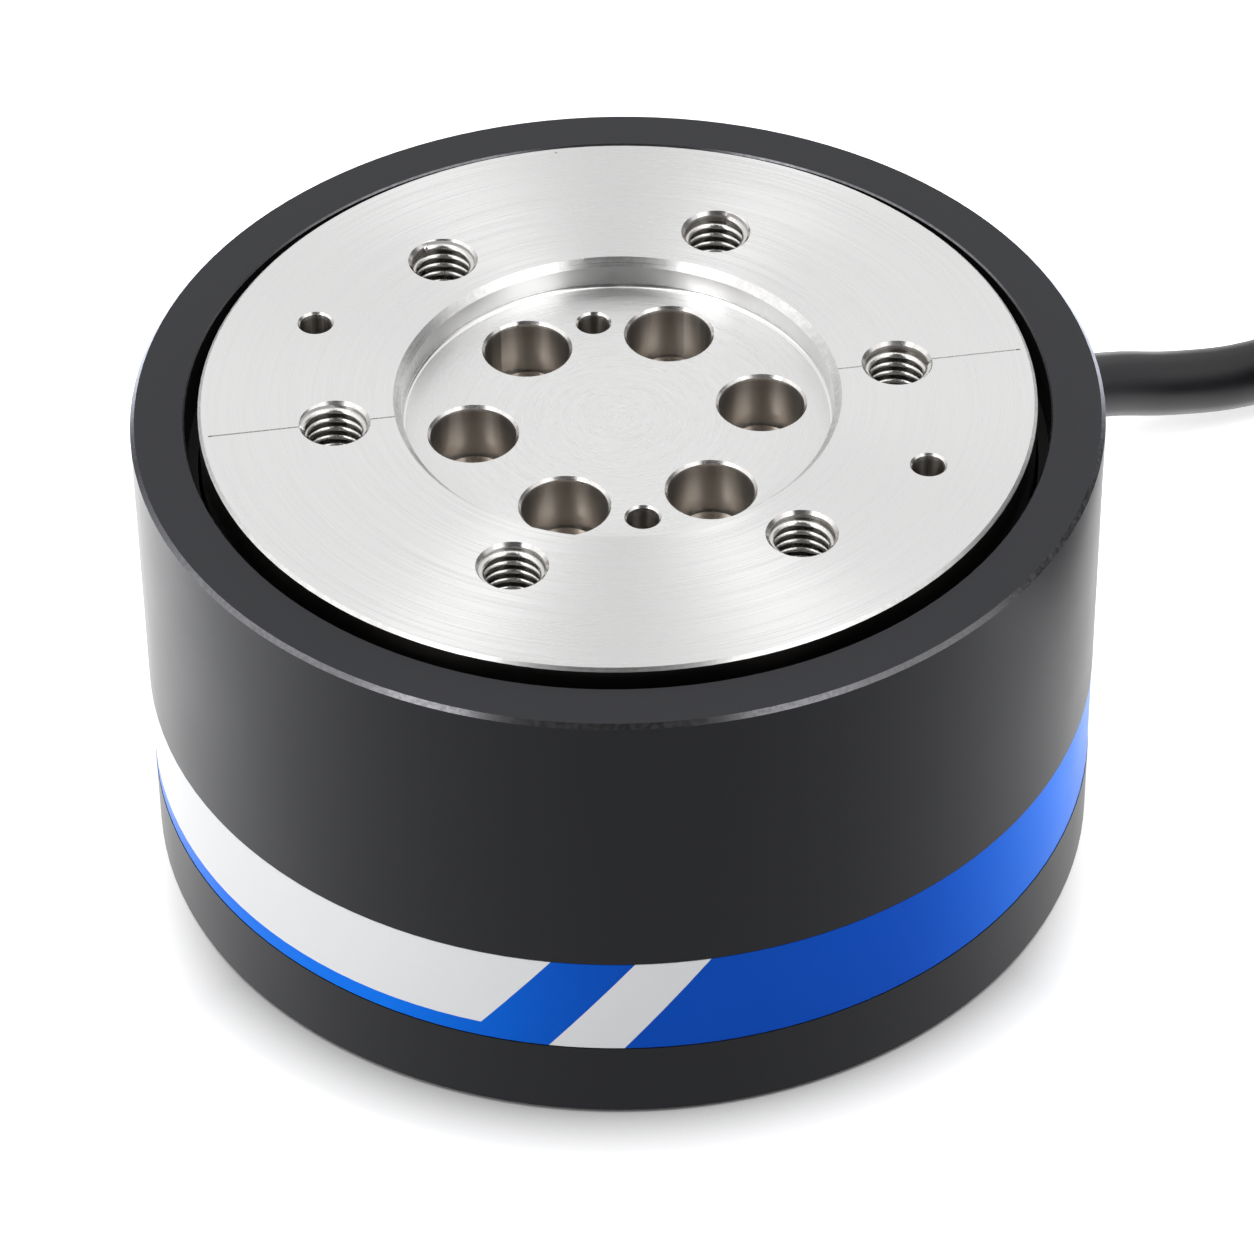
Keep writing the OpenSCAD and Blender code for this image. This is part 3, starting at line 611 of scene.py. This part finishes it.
@dataclass(frozen=True)
class Film(Finish):
    """Printed polyester film under a clear satin cover, with a painted shade that deepens its
    colour on the side towards the camera.
    """

    name: str
    colour: Colour
    # The colour where the painted shade is full.
    deep: Colour
    index: float = 1.16
    roughness: float = 0.3
    clouds: float = 140.0
    peel: float = 900.0
    depth: float = 1.0e-6
    band_r: float = 0.045
    painted_shade_side: float = -80.0
    fade: Range = (0.67, 0.96)

    def fill(self, graph: Graph, shader: Node) -> None:
        """Fills the shader: a painted shade deepens the colour towards the band's front, with faint
        random tone, under an orange peel.

        Args:
            graph: the material's fresh graph.
            shader: its shader.
        """
        # Painted shade: the colour deepens towards the front of the band, which faces the camera,
        # and faint random tone is added.
        around = graph.math("DIVIDE", graph.along(graph.place(), self.painted_shade_side), self.band_r)
        cloud = graph.noise(self.clouds)
        tone_and_shade = graph.math("ADD", graph.ramp(around, *self.fade, 1.0, 0.0),
                          graph.vary(cloud, 0.0, 0.02, 0.02))
        graph.fill(shader, Base_Color=graph.tint(tone_and_shade, self.deep, self.colour), IOR=self.index,
                   Roughness=graph.vary(cloud, self.roughness, 0.02, 0.03),
                   Normal=graph.bump(graph.noise(self.peel, detail=1.0), self.depth))


@dataclass(frozen=True)
class Woven(Finish):
    """Woven tape: crossing threads in colour and bump."""

    name: str
    colour: Colour
    threads: float = 5200.0
    roughness: float = 0.85
    light: float = 1.8
    nap: float = 0.3
    depth: float = 6.0e-5

    def fill(self, graph: Graph, shader: Node) -> None:
        """Fills the shader: two sets of threads that cross at right angles.

        Args:
            graph: the material's fresh graph.
            shader: its shader.
        """
        split = graph.add("SeparateXYZ", in0=graph.place())
        flat = graph.math("ADD", split.outputs["X"], split.outputs["Y"])
        across, along = (graph.math("SINE", graph.math("MULTIPLY", way, self.threads))
                         for way in (split.outputs["Z"], flat))
        weave = graph.ramp(graph.math("MULTIPLY", across, along), -1.0, 1.0, 0.0, 1.0)
        graph.fill(shader, Roughness=self.roughness, Sheen_Weight=self.nap,
                   Base_Color=graph.tint(weave, self.colour, scaled(self.colour, self.light)),
                   Normal=graph.bump(weave, self.depth))


@dataclass(frozen=True)
class Palette:
    """Every finish on the sensor."""

    housing: Finish = Anodised("black_anodised")
    flange: Finish = Turned("machined_flange")
    thread: Finish = Metal("cut_thread", (0.72, 0.71, 0.69), 0.24, 2500.0, 1.5e-6)
    fillet: Finish = Metal("turned_fillet", (0.82, 0.815, 0.81), 0.20, 2500.0, 0.6e-6)
    screw: Finish = Metal("screw_steel", (0.80, 0.75, 0.69), 0.26)
    dark_steel: Finish = Metal("dark_steel", (0.16, 0.16, 0.165), 0.32)
    element: Finish = Metal("element_aluminium", (0.78, 0.78, 0.79), 0.30)
    # Each film's second colour is its painted shade on the band's front.
    white: Finish = Film("label_white", (0.80, 0.805, 0.815), (0.78, 0.785, 0.80))
    blue: Finish = Film("label_blue", (0.0, 0.18, 0.88), (0.0, 0.075, 0.52))
    seal: Finish = Even("seal_rubber", (0.008, 0.008, 0.008), 0.6)
    foil: Finish = Metal("gauge_foil", (0.75, 0.48, 0.22), 0.4)
    flex: Finish = Even("flex_polyimide", (0.5, 0.2, 0.03), 0.35)
    board: Finish = Even("board_green", (0.01, 0.10, 0.035), 0.4)
    chip: Finish = Even("chip_black", (0.02, 0.02, 0.02), 0.5)
    nylon: Finish = Even("connector_cream", (0.65, 0.58, 0.42), 0.5)
    wire: Finish = Even("wire_red", (0.42, 0.02, 0.015), 0.4)
    gland: Finish = Metal("gland_metal", (0.30, 0.30, 0.31), 0.35)
    jacket: Finish = Even("cable_black", (0.018, 0.018, 0.020), 0.42, 3200.0, 4.0e-6, 0.36)
    relief: Finish = Even("relief_black", (0.012, 0.012, 0.012), 0.5)
    strap: Finish = Woven("strap_fabric", (0.012, 0.012, 0.013))
    plug: Finish = Even("plug_black", (0.015, 0.015, 0.016), 0.45)
    nickel: Finish = Metal("plug_nickel", (0.62, 0.60, 0.56), 0.22)
    gold: Finish = Metal("contact_gold", (0.85, 0.62, 0.25), 0.25)


# ---- meshes


def placed(name: str, data: bpy.types.ID) -> bpy.types.Object:
    """Makes an object of its data and links it to the scene."""
    made = bpy.data.objects.new(name, data)
    bpy.context.scene.collection.objects.link(made)
    return made


def add_piece(name: str, mesh: bmesh.types.BMesh, finish: Finish) -> bpy.types.Object:
    """Turns a bmesh in metres into a piece of the sensor.

    Args:
        name: the piece's name.
        mesh: its mesh, freed here.
        finish: its finish.

    Returns:
        The object, riding on the sensor's body.
    """
    data = bpy.data.meshes.new(name)
    mesh.to_mesh(data)
    mesh.free()
    for face in data.polygons:
        face.use_smooth = True
    piece = placed(name, data)
    data.materials.append(finish.material())
    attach(piece, BODY)
    LOG.info("%s: %d faces", name, len(data.polygons))
    return piece


def dress(frame: dict, **finishes: Finish) -> list[bpy.types.Object]:
    """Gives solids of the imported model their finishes.

    Args:
        **finishes: a finish for each solid, by the solid's name.

    Returns:
        The solids' objects.
    """
    pieces = []
    for node, finish in finishes.items():
        piece = frame["nodes"][node]
        piece.data.materials.clear()
        piece.data.materials.append(finish.material())
        LOG.info("%s: %s", node, finish.name)
        pieces.append(piece)
    return pieces


@dataclass
class TappedHoles:
    """A circle of tapped holes, with a cut thread in each."""

    name: str
    circle: float
    count: int
    mouth_z: float
    depth: float
    start: float = 0.0
    facing_up: bool = True
    root_r: float = 3.0
    crest_r: float = 2.46
    pitch: float = 1.0
    mouth_r: float = 3.3
    flank: float = 0.49
    crest: float = 0.07
    end_room: float = 0.3
    sunk: float = 0.02
    steps: int = 40

    def ridge(self) -> bmesh.types.BMesh:
        """Sweeps one thread ridge down its helix, under a hole's mouth at z = 0.

        Returns:
            A closed mesh in millimetres, opening upwards.
        """
        mesh = bmesh.new()
        turns = math.floor((self.depth - self.end_room) / self.pitch) - 1
        half, flat = self.flank * self.pitch, self.crest * self.pitch
        root, top = self.root_r + self.sunk, -self.sunk
        profile = [(root, top), (self.crest_r, top - half + flat),
                   (self.crest_r, top - half - flat), (root, top - 2 * half)]
        corners = [mesh.verts.new((x, 0.0, z)) for x, z in profile]
        face = mesh.faces.new(corners)
        bmesh.ops.spin(mesh, geom=[face, *face.edges, *corners], cent=(0, 0, 0), axis=(0, 0, 1),
                       dvec=(0.0, 0.0, -self.pitch / self.steps), angle=-turns * math.tau,
                       steps=turns * self.steps, use_duplicate=False)
        return mesh

    def trim(self, mesh: bmesh.types.BMesh) -> None:
        """Pushes the first turns out to the mouth's countersunk cone.

        Args:
            mesh: the ridge, changed in place.
        """
        for vert in mesh.verts:
            radius = math.hypot(vert.co.x, vert.co.y)
            cone = self.mouth_r - self.sunk + vert.co.z
            if cone > radius:
                vert.co.x *= cone / radius
                vert.co.y *= cone / radius

    def build(self, finish: Finish, slot: str) -> bpy.types.Object:
        """Builds the threads of all holes as one piece.

        Args:
            finish: the threads' finish.
            slot: not used.

        Returns:
            The piece.
        """
        whole = bmesh.new()
        for index in range(self.count):
            one = self.ridge()
            self.trim(one)
            turn = Matrix.Rotation(math.radians(self.start) + index * math.tau / self.count, 4, "Z")
            side = Matrix.Translation((self.circle, 0.0, self.mouth_z))
            if not self.facing_up:
                side = side @ Matrix.Rotation(math.pi, 4, "X")
            bmesh.ops.transform(one, matrix=Matrix.Scale(MM, 4) @ turn @ side, verts=one.verts)
            data = bpy.data.meshes.new("one_thread")
            one.to_mesh(data)
            one.free()
            whole.from_mesh(data)
            bpy.data.meshes.remove(data)
        bmesh.ops.recalc_face_normals(whole, faces=whole.faces)
        return add_piece(self.name, whole, finish)


@dataclass
class RecessFillet:
    """The small fillet that the lathe tool leaves at the foot of the pilot recess."""

    name: str
    wall_r: float
    floor_z: float
    radius: float = 0.45
    sunk: float = 0.02
    arc_steps: int = 6
    steps: int = 240

    def build(self, finish: Finish, slot: str) -> bpy.types.Object:
        """Turns the fillet's profile round the axis.

        Args:
            finish: the fillet's finish.
            slot: not used.

        Returns:
            The piece.
        """
        mesh = bmesh.new()
        arc = [math.radians(90.0) * index / self.arc_steps for index in range(1, self.arc_steps)]
        profile = [(self.wall_r + self.sunk, self.floor_z - self.sunk),
                   (self.wall_r - self.radius, self.floor_z - self.sunk),
                   *((self.wall_r - self.radius * (1.0 - math.sin(turn)),
                      self.floor_z + self.radius * (1.0 - math.cos(turn))) for turn in arc),
                   (self.wall_r + self.sunk, self.floor_z + self.radius)]
        corners = [mesh.verts.new((x * MM, 0.0, z * MM)) for x, z in profile]
        edges = [mesh.edges.new((corners[index - 1], corner))
                 for index, corner in enumerate(corners)]
        bmesh.ops.spin(mesh, geom=[*corners, *edges], cent=(0, 0, 0), axis=(0, 0, 1),
                       angle=math.tau, steps=self.steps, use_merge=True)
        bmesh.ops.recalc_face_normals(mesh, faces=mesh.faces)
        return add_piece(self.name, mesh, finish)


# ---- cable


def ease(share: float) -> float:
    """Gives a smooth step from 0 to 1 as the share goes from 0 to 1."""
    share = min(1.0, max(0.0, share))
    return 0.5 - 0.5 * math.cos(math.pi * share)


@dataclass
class CableRoute:
    """The line that the cable follows, from inside the gland to the plug."""

    diameter: float = 6.8
    exit_angle: float = 40.0
    exit_z: float = 10.0
    jacket_start: float = 31.5
    relief_tip: float = 56.0
    exit_shares: tuple[float, ...] = (0.0, 0.35, 0.7, 1.0)
    lead: tuple[Point, ...] = (
        (50.3, 41.2, 5.6), (58.0, 44.5, 3.3), (65.7, 46.2, 1.1), (73.2, 47.5, 0.1),
        (82.5, 50.1, 0.0), (91.5, 52.6, 0.0), (97.0, 54.1, 0.0), (102.8, 55.7, 0.0))
    tail: tuple[Point, ...] = (
        (130, 0.7, 8.0), (113, 0.7, 8.0), (96, 0.8, 8.0), (79, 0.9, 8.0), (62, 1.0, 8.0),
        (45, 1.2, 8.0), (28, 1.5, 8.0), (11, 1.9, 8.0), (-6, 2.4, 8.0), (-22, 3.1, 7.5),
        (-38, 4.0, 6.5), (-54, 5.0, 5.2), (-68, 5.9, 4.3), (-80, 6.7, 4.0), (-84, 7.0, 4.0))
    points_a_turn: int = 24
    first_turned: float = -15.0
    last_turned: float = 2115.0
    steps_in: tuple[float, ...] = (45.0, 405.0, 765.0)
    steps_out: tuple[float, ...] = (1305.0, 1665.0, 2025.0)
    rise: float = 1035.0
    settle: float = 60.0
    crossing: float = 90.0
    last_step: float = 1.1
    coil_x: float = field(init=False)
    coil_y: float = field(init=False)
    coil_ro: float = field(init=False)
    coil_z: float = field(init=False)

    def __post_init__(self) -> None:
        """Takes the coil's place and size from its solid."""
        low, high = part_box("cable_coil")
        self.coil_x = (low.x + high.x) / 2 / MM
        self.coil_y = (low.y + high.y) / 2 / MM
        self.coil_ro = (high.x - low.x) / 2 / MM
        self.coil_z = low.z / MM

    def along_exit(self, distance: float) -> Point:
        """Gives the point on the exit's own axis at a distance from the sensor's axis."""
        angle = math.radians(self.exit_angle)
        return (distance * math.cos(angle), distance * math.sin(angle), self.exit_z)

    def round_coil(self, angle: float, radius: float, height: float) -> Point:
        """Gives a point round the coil's axis, from its angle in degrees."""
        turn = math.radians(angle)
        return (self.coil_x + radius * math.cos(turn), self.coil_y + radius * math.sin(turn),
                height)

    def crossed(self, turned: float, begin: float) -> float:
        """Gives how far a crossing that begins at an angle is done, from 0 to 1."""
        return ease((turned - begin) / self.crossing)

    def winding(self, turned: float) -> tuple[float, float]:
        """Gives the coil's radius and height where the cable has turned so far.

        It starts against the coil's outside, steps inwards through the lower layer, rises,
        and steps outwards through the upper one.

        Args:
            turned: degrees wound, clockwise from the coil's back.

        Returns:
            Radius and height in millimetres.
        """
        steps = -sum(self.crossed(turned, begin) for begin in self.steps_in)
        steps += sum(self.crossed(turned, begin) for begin in self.steps_out[:-1])
        steps += self.last_step * self.crossed(turned, self.steps_out[-1])
        lift = self.coil_z * ease((turned - self.first_turned) / self.settle)
        lift += self.diameter * self.crossed(turned, self.rise)
        radius = self.coil_ro + self.diameter / 2 + steps * self.diameter
        return radius, self.diameter / 2 + lift

    def coil_points(self) -> list[Point]:
        """Gives the coil's points, three turns across and two high.

        Returns:
            The points in winding order.
        """
        sweep = self.last_turned - self.first_turned
        count = round(sweep / 360 * self.points_a_turn)
        points = []
        for index in range(count):
            turned = self.first_turned + sweep * index / count
            radius, height = self.winding(turned)
            points.append(self.round_coil(90 - turned, radius, height))
        return points

    def points(self) -> list[Vector]:
        """Gives the whole line.

        Returns:
            Its points in metres, from the gland to the plug.
        """
        middle = self.diameter / 2
        start = [self.along_exit(self.jacket_start + share * (self.relief_tip - self.jacket_start))
                 for share in self.exit_shares]
        lead = [(x, y, z + middle) for x, y, z in self.lead]
        tail = [self.round_coil(angle, self.coil_ro + middle + gap, z + middle)
                for angle, gap, z in self.tail]
        return [Vector(point) * MM for point in (*start, *lead, *self.coil_points(), *tail)]


@dataclass
class CableAssembly:
    """The gland, the free cable with its coil and straps, and the plug."""

    frame: dict
    palette: Palette
    route: CableRoute = field(default_factory=CableRoute)
    length_m: float = 1.75

    def build_cord(self) -> bpy.types.Object:
        """Draws the cable as one smooth curve of its real length.

        Returns:
            The cable.
        """
        data = bpy.data.curves.new("signal_cable", "CURVE")
        data.dimensions = "3D"
        data.bevel_depth = self.route.diameter / 2 * MM
        data.bevel_resolution = 6
        data.use_fill_caps = True
        data.resolution_u = 5
        points = self.route.points()
        spline = data.splines.new("BEZIER")
        spline.bezier_points.add(len(points) - 1)
        for knot, place in zip(spline.bezier_points, points):
            knot.co = place
            knot.handle_left_type = knot.handle_right_type = "AUTO"
        cord = placed("signal_cable", data)
        data.materials.append(self.palette.jacket.material())
        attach(cord, BODY)
        return cord

    def build(self) -> None:
        cord = self.build_cord()
        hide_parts("cable", "cable_coil", "cable_tail")
        look = self.palette
        straps, *plug = dress(self.frame, coil_straps=look.strap, plug_body=look.plug,
                              plug_nut=look.nickel, plug_insert=look.plug, plug_pins=look.gold)
        tuple(Vector(self.route.along_exit(self.route.relief_tip)) * MM)
        dress(self.frame, gland_gasket=look.seal, gland_body=look.gland,
              strain_relief=look.relief)


# ---- the rigid pieces


@dataclass
class Shell:
    """The housing with its band, the base and their seals and screws."""

    frame: dict
    palette: Palette
    thread_circle: float = 25.0
    thread_start: float = 45.0
    thread_count: int = 4
    thread_depth: float = 8.0

    def build(self) -> None:
        """Dresses the shell and cuts the robot-side threads."""
        look = self.palette
        dress(self.frame, housing=look.housing, base_plate=look.housing, label_film=look.white,
              label_print=look.blue, gap_seal=look.seal, base_seal=look.seal,
              rim_screws=look.screw, housing_screws=look.dark_steel)
        threads = TappedHoles("robot_threads", circle=self.thread_circle, start=self.thread_start,
                              count=self.thread_count, mouth_z=0.0, depth=self.thread_depth,
                              facing_up=False)
        threads.build(look.thread, "black_anodised")


@dataclass
class ToolSide:
    """The tool flange with its threads, screws and pins, and the fillet in its recess."""

    frame: dict
    palette: Palette
    thread_circle: float = 26.25
    thread_count: int = 6
    thread_depth: float = 9.5
    recess_r: float = 20.0
    recess_depth: float = 3.0

    def build(self) -> None:
        """Dresses the flange, cuts its threads and adds the fillet."""
        look = self.palette
        dress(self.frame, tool_flange=look.flange, hub_screws=look.screw,
              hub_dowel_pins=look.dark_steel, overload_pins=look.dark_steel)
        face_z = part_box("tool_flange")[1].z / MM
        threads = TappedHoles("tool_threads", circle=self.thread_circle, mouth_z=face_z,
                              count=self.thread_count, depth=self.thread_depth)
        threads.build(look.thread, "machined_flange")
        fillet = RecessFillet("recess_fillet", wall_r=self.recess_r,
                              floor_z=face_z - self.recess_depth)
        fillet.build(look.fillet, "machined_flange")


@dataclass
class Core:
    """The sensing element and the electronics inside the shell."""

    frame: dict
    palette: Palette

    def build(self) -> None:
        """Dresses every piece inside."""
        look = self.palette
        dress(self.frame, sensing_element=look.element, strain_gauges=look.foil,
              gauge_flex=look.flex, circuit_board=look.board, board_standoffs=look.screw,
              board_screws=look.screw, board_chips=look.chip, board_connector=look.nylon,
              lead_wires=look.wire)


# ---- studio


class Side(Enum):
    """Where a softbox stands, as azimuth and elevation in degrees from the sensor."""

    OVER_LEFT = (119.4, 68.0)
    OVER_RIGHT = (43.4, 68.0)
    LEFT = (-168.0, 12.0)
    RIGHT = (4.0, 12.0)


@dataclass(frozen=True)
class Patch:
    """A patch of the surroundings with its own level in reflections.

    It fades in between two cosines of the angle from its azimuth, and a strip begins, or the
    shade ends, between two heights.
    """

    azimuth: float
    level: float
    soft: float
    full: float
    foot: float = 0.15
    head: float = 0.3


@dataclass
class Studio:
    """The camera, the floor, the lamps and the white surroundings.

    The camera's lengths are in millimetres, those of the floor and the lamps in metres.
    """

    ring_top: float = 47.5
    azimuth: float = -98.6
    elevation: float = 38.70
    distance: float = 539.8
    yaw: float = 0.0638
    pitch: float = -2.2146
    roll: float = -0.7427
    view_angle: float = 12.248
    lamp_distance: float = 0.8
    lamps: tuple[tuple[Side, float, float], ...] = (
        (Side.OVER_LEFT, 0.14, 0.22), (Side.OVER_RIGHT, 0.14, 0.22),
        (Side.LEFT, 0.6, 3.2), (Side.RIGHT, 0.6, 6.5))
    dark_side: float = -90.0
    floor_size: float = 3.0
    floor_drop: float = 0.0001
    floor_tint: Range = (0.9, 0.5)
    floor_shine: Point = (0.45, 0.65, 0.42)
    contact_reach: float = 0.0075
    contact_fade: Range = (0.35, 1.0)
    contact_glow: float = 0.75
    ring_glow: float = 0.75
    ring_rise: Range = (0.050, 0.064)
    ring_fall: Range = (0.100, 0.115)
    side_glow: float = 0.6
    side_reach: Range = (0.080, 0.092)
    side_fade: Range = (0.15, 0.6)
    skirt_level: float = 0.2
    skirt_reach: Range = (0.35, 1.0)
    skirt_height: Range = (0.06, 0.22)
    world_level: Range = (0.97, 0.30)
    world_fade: Range = (-0.1, 0.7)
    mirror_level: float = 1.05
    gap_level: float = 0.84
    gap_width: Range = (0.06, 0.2)
    front_level: float = 0.10
    front_fade: Range = (0.68, 0.80)
    shade: Patch = Patch(12.0, 0.15, 0.92, 0.98, 0.5, 0.6)
    strips: tuple[Patch, ...] = (
        Patch(-147.0, 3.2, 0.970, 0.990), Patch(-55.0, 2.0, 0.950, 0.988),
        Patch(172.0, 1.5, 0.75, 0.95), Patch(-25.0, 2.5, 0.93, 0.985, 0.6, 0.72))

    def aim(self) -> Matrix:
        """Works out where the camera stands and how it is turned.

        Returns:
            The camera's matrix in metres.
        """
        away = direction(self.azimuth, self.elevation)
        forward = -away
        right = forward.cross(Vector((0.0, 0.0, 1.0))).normalized()
        up = right.cross(forward)
        forward = (forward + math.tan(math.radians(self.yaw)) * right
                   + math.tan(math.radians(self.pitch)) * up).normalized()
        right = forward.cross(up).normalized()
        up = right.cross(forward)
        roll = math.radians(self.roll)
        side = math.cos(roll) * right + math.sin(roll) * up
        top = math.cos(roll) * up - math.sin(roll) * right
        turned = Matrix((side, top, -forward)).transposed().to_4x4()
        place = Vector((0.0, 0.0, self.ring_top)) + self.distance * away
        return Matrix.Translation(place * MM) @ turned

    def build_camera(self) -> None:
        """Adds the camera."""
        data = bpy.data.cameras.new("camera")
        data.sensor_fit = "HORIZONTAL"
        data.sensor_width = 36.0
        data.angle = math.radians(self.view_angle)
        data.clip_start = 0.02
        data.clip_end = 50.0
        camera = placed("camera", data)
        camera.matrix_world = self.aim()
        bpy.context.scene.camera = camera

    def floor_glow(self, graph: Graph, reach: Socket) -> Node:
        """Gives the floor's own glow, which the sensor's contact shadow takes away, and painted
        light in a ring round the sensor and to its sides, which lifts the floor's shadows there.

        Args:
            graph: the floor's graph.
            reach: the distance from the sensor's axis.

        Returns:
            The glow's strength.
        """
        near = graph.add("AmbientOcclusion", {"samples": 8}, Distance=self.contact_reach)
        contact = graph.ramp(near.outputs["AO"], *self.contact_fade, 0.0, self.contact_glow)
        # Painted light: extra glow in a ring round the sensor and to its sides, which lifts the
        # shadows of the cable and the sensor off the floor.
        ring = graph.band(reach, self.ring_rise, self.ring_fall, self.ring_glow)
        side = graph.ramp(graph.towards(graph.place(), self.azimuth), *self.side_fade,
                          self.side_glow, 0.0)
        inside = graph.math("MULTIPLY", graph.ramp(reach, *self.side_reach, 1.0, 0.0), side)
        return graph.math("ADD", contact, graph.math("MAXIMUM", ring, inside))

    def floor_mirrored(self, graph: Graph, reach: Socket) -> Node:
        """Gives the floor's level in reflections, darker on one side and far out.

        Args:
            graph: the floor's graph.
            reach: the distance from the sensor's axis.

        Returns:
            The level.
        """
        away = graph.math("SUBTRACT", 1.0, graph.towards(graph.place(), self.dark_side))
        low, rise, bend = self.floor_shine
        level = graph.math("MULTIPLY_ADD", away, graph.math("MULTIPLY_ADD", away, bend, rise), low)
        return graph.math("MULTIPLY", level,
                          graph.ramp(reach, *self.skirt_reach, 1.0, self.skirt_level))

    def floor_material(self) -> bpy.types.Material:
        """Makes the floor's pale surface.

        Returns:
            The material.
        """
        made = bpy.data.materials.new("pale_floor")
        made.use_nodes = True
        graph = Graph(made.node_tree)
        rays = graph.add("LightPath")
        seen = rays.outputs["Is Camera Ray"]
        reach = graph.vector("LENGTH", graph.place()).outputs["Value"]
        plain = graph.add("BsdfDiffuse", Color=graph.ramp(seen, 0.0, 1.0, *self.floor_tint))
        glow = graph.math("MULTIPLY", seen, self.floor_glow(graph, reach))
        lit = graph.add("AddShader", in0=plain,
                        in1=graph.add("Emission", Color=WHITE, Strength=glow))
        shown = graph.add("Emission", Color=WHITE, Strength=self.floor_mirrored(graph, reach))
        both = graph.add("MixShader", in0=rays.outputs["Is Glossy Ray"], in1=lit, in2=shown)
        graph.add("OutputMaterial", Surface=both)
        return made

    def build_floor(self) -> None:
        """Adds the pale floor, which keeps the sensor's shadow."""
        mesh = bmesh.new()
        bmesh.ops.create_grid(mesh, x_segments=1, y_segments=1, size=self.floor_size)
        bmesh.ops.translate(mesh, verts=mesh.verts, vec=(0.0, 0.0, -self.floor_drop))
        data = bpy.data.meshes.new("floor")
        mesh.to_mesh(data)
        mesh.free()
        floor = placed("floor", data)
        data.materials.append(self.floor_material())

    def mirrored(self, graph: Graph, way: Socket, height: Socket) -> Node:
        """Gives the surroundings' level in reflections: dark low down and in front, with strips.

        Args:
            graph: the world's graph.
            way: the direction looked in.
            height: its Z.

        Returns:
            The level.
        """
        across = graph.math("ABSOLUTE", graph.along(way, self.azimuth + 90.0))
        gap = graph.ramp(across, *self.gap_width, self.gap_level, 1.0)
        skirt = graph.ramp(graph.math("ABSOLUTE", height), *self.skirt_height,
                           self.skirt_level, 1.0)
        front = graph.ramp(graph.towards(way, self.azimuth), *self.front_fade, 1.0,
                           self.front_level)
        level = graph.math("MULTIPLY", graph.math("MULTIPLY", gap, skirt), front)
        level = graph.math("MULTIPLY", level, self.mirror_level)
        dark = self.shade
        beside = graph.ramp(graph.towards(way, dark.azimuth), dark.soft, dark.full, 1.0, dark.level)
        above = graph.ramp(height, dark.foot, dark.head, 0.0, 1.0)
        level = graph.math("MULTIPLY", level, graph.math("MAXIMUM", beside, above))
        for strip in self.strips:
            near = graph.ramp(graph.towards(way, strip.azimuth), strip.soft, strip.full, 0.0,
                              strip.level)
            upper = graph.ramp(height, strip.foot, strip.head, 0.0, 1.0)
            level = graph.math("MAXIMUM", level, graph.math("MULTIPLY", near, upper))
        return level

    def build_world(self) -> None:
        """Fills the surroundings: white to look at, and darker on one side in their light."""
        world = bpy.data.worlds.new("surroundings")
        world.use_nodes = True
        bpy.context.scene.world = world
        graph = Graph(world.node_tree)
        rays = graph.add("LightPath")
        way = graph.add("TexCoord").outputs["Generated"]
        height = graph.add("SeparateXYZ", in0=way).outputs["Z"]
        light = graph.ramp(graph.along(way, self.dark_side), *self.world_fade, *self.world_level)
        shown = graph.add("Mix", {"data_type": "FLOAT"}, Factor=rays.outputs["Is Glossy Ray"],
                          in2=light, in3=self.mirrored(graph, way, height)).outputs[0]
        strength = graph.math("MAXIMUM", rays.outputs["Is Camera Ray"], shown)
        sky = graph.add("Background", Color=WHITE, Strength=strength)
        graph.add("OutputWorld", Surface=sky)

    def build_lamps(self) -> None:
        """Hangs the softboxes, each facing the sensor."""
        aim = Vector((0.0, 0.0, self.ring_top * MM / 2))
        for side, size, power in self.lamps:
            away = direction(*side.value)
            data = bpy.data.lights.new(side.name.lower(), "AREA")
            data.shape = "SQUARE"
            data.size = size
            data.energy = power
            lamp = placed(side.name.lower(), data)
            lamp.visible_glossy = side in (Side.OVER_LEFT, Side.OVER_RIGHT)
            lamp.matrix_world = (Matrix.Translation(aim + self.lamp_distance * away)
                                 @ away.to_track_quat("Z", "Y").to_matrix().to_4x4())

    def build(self) -> None:
        """Builds the studio and sets a plain view transform."""
        self.build_camera()
        self.build_floor()
        self.build_world()
        self.build_lamps()
        bpy.context.scene.view_settings.view_transform = "Standard"
        LOG.info("studio: camera at %s", tuple(round(v, 4) for v in self.aim().translation))


def main() -> None:
    """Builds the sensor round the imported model."""
    logging.basicConfig(level=logging.INFO, format="%(name)s %(message)s")
    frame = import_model()
    palette = Palette()
    Studio().build()
    CableAssembly(frame, palette).build()
    Shell(frame, palette).build()
    ToolSide(frame, palette).build()
    Core(frame, palette).build()


if __name__ == "__main__":
    main()
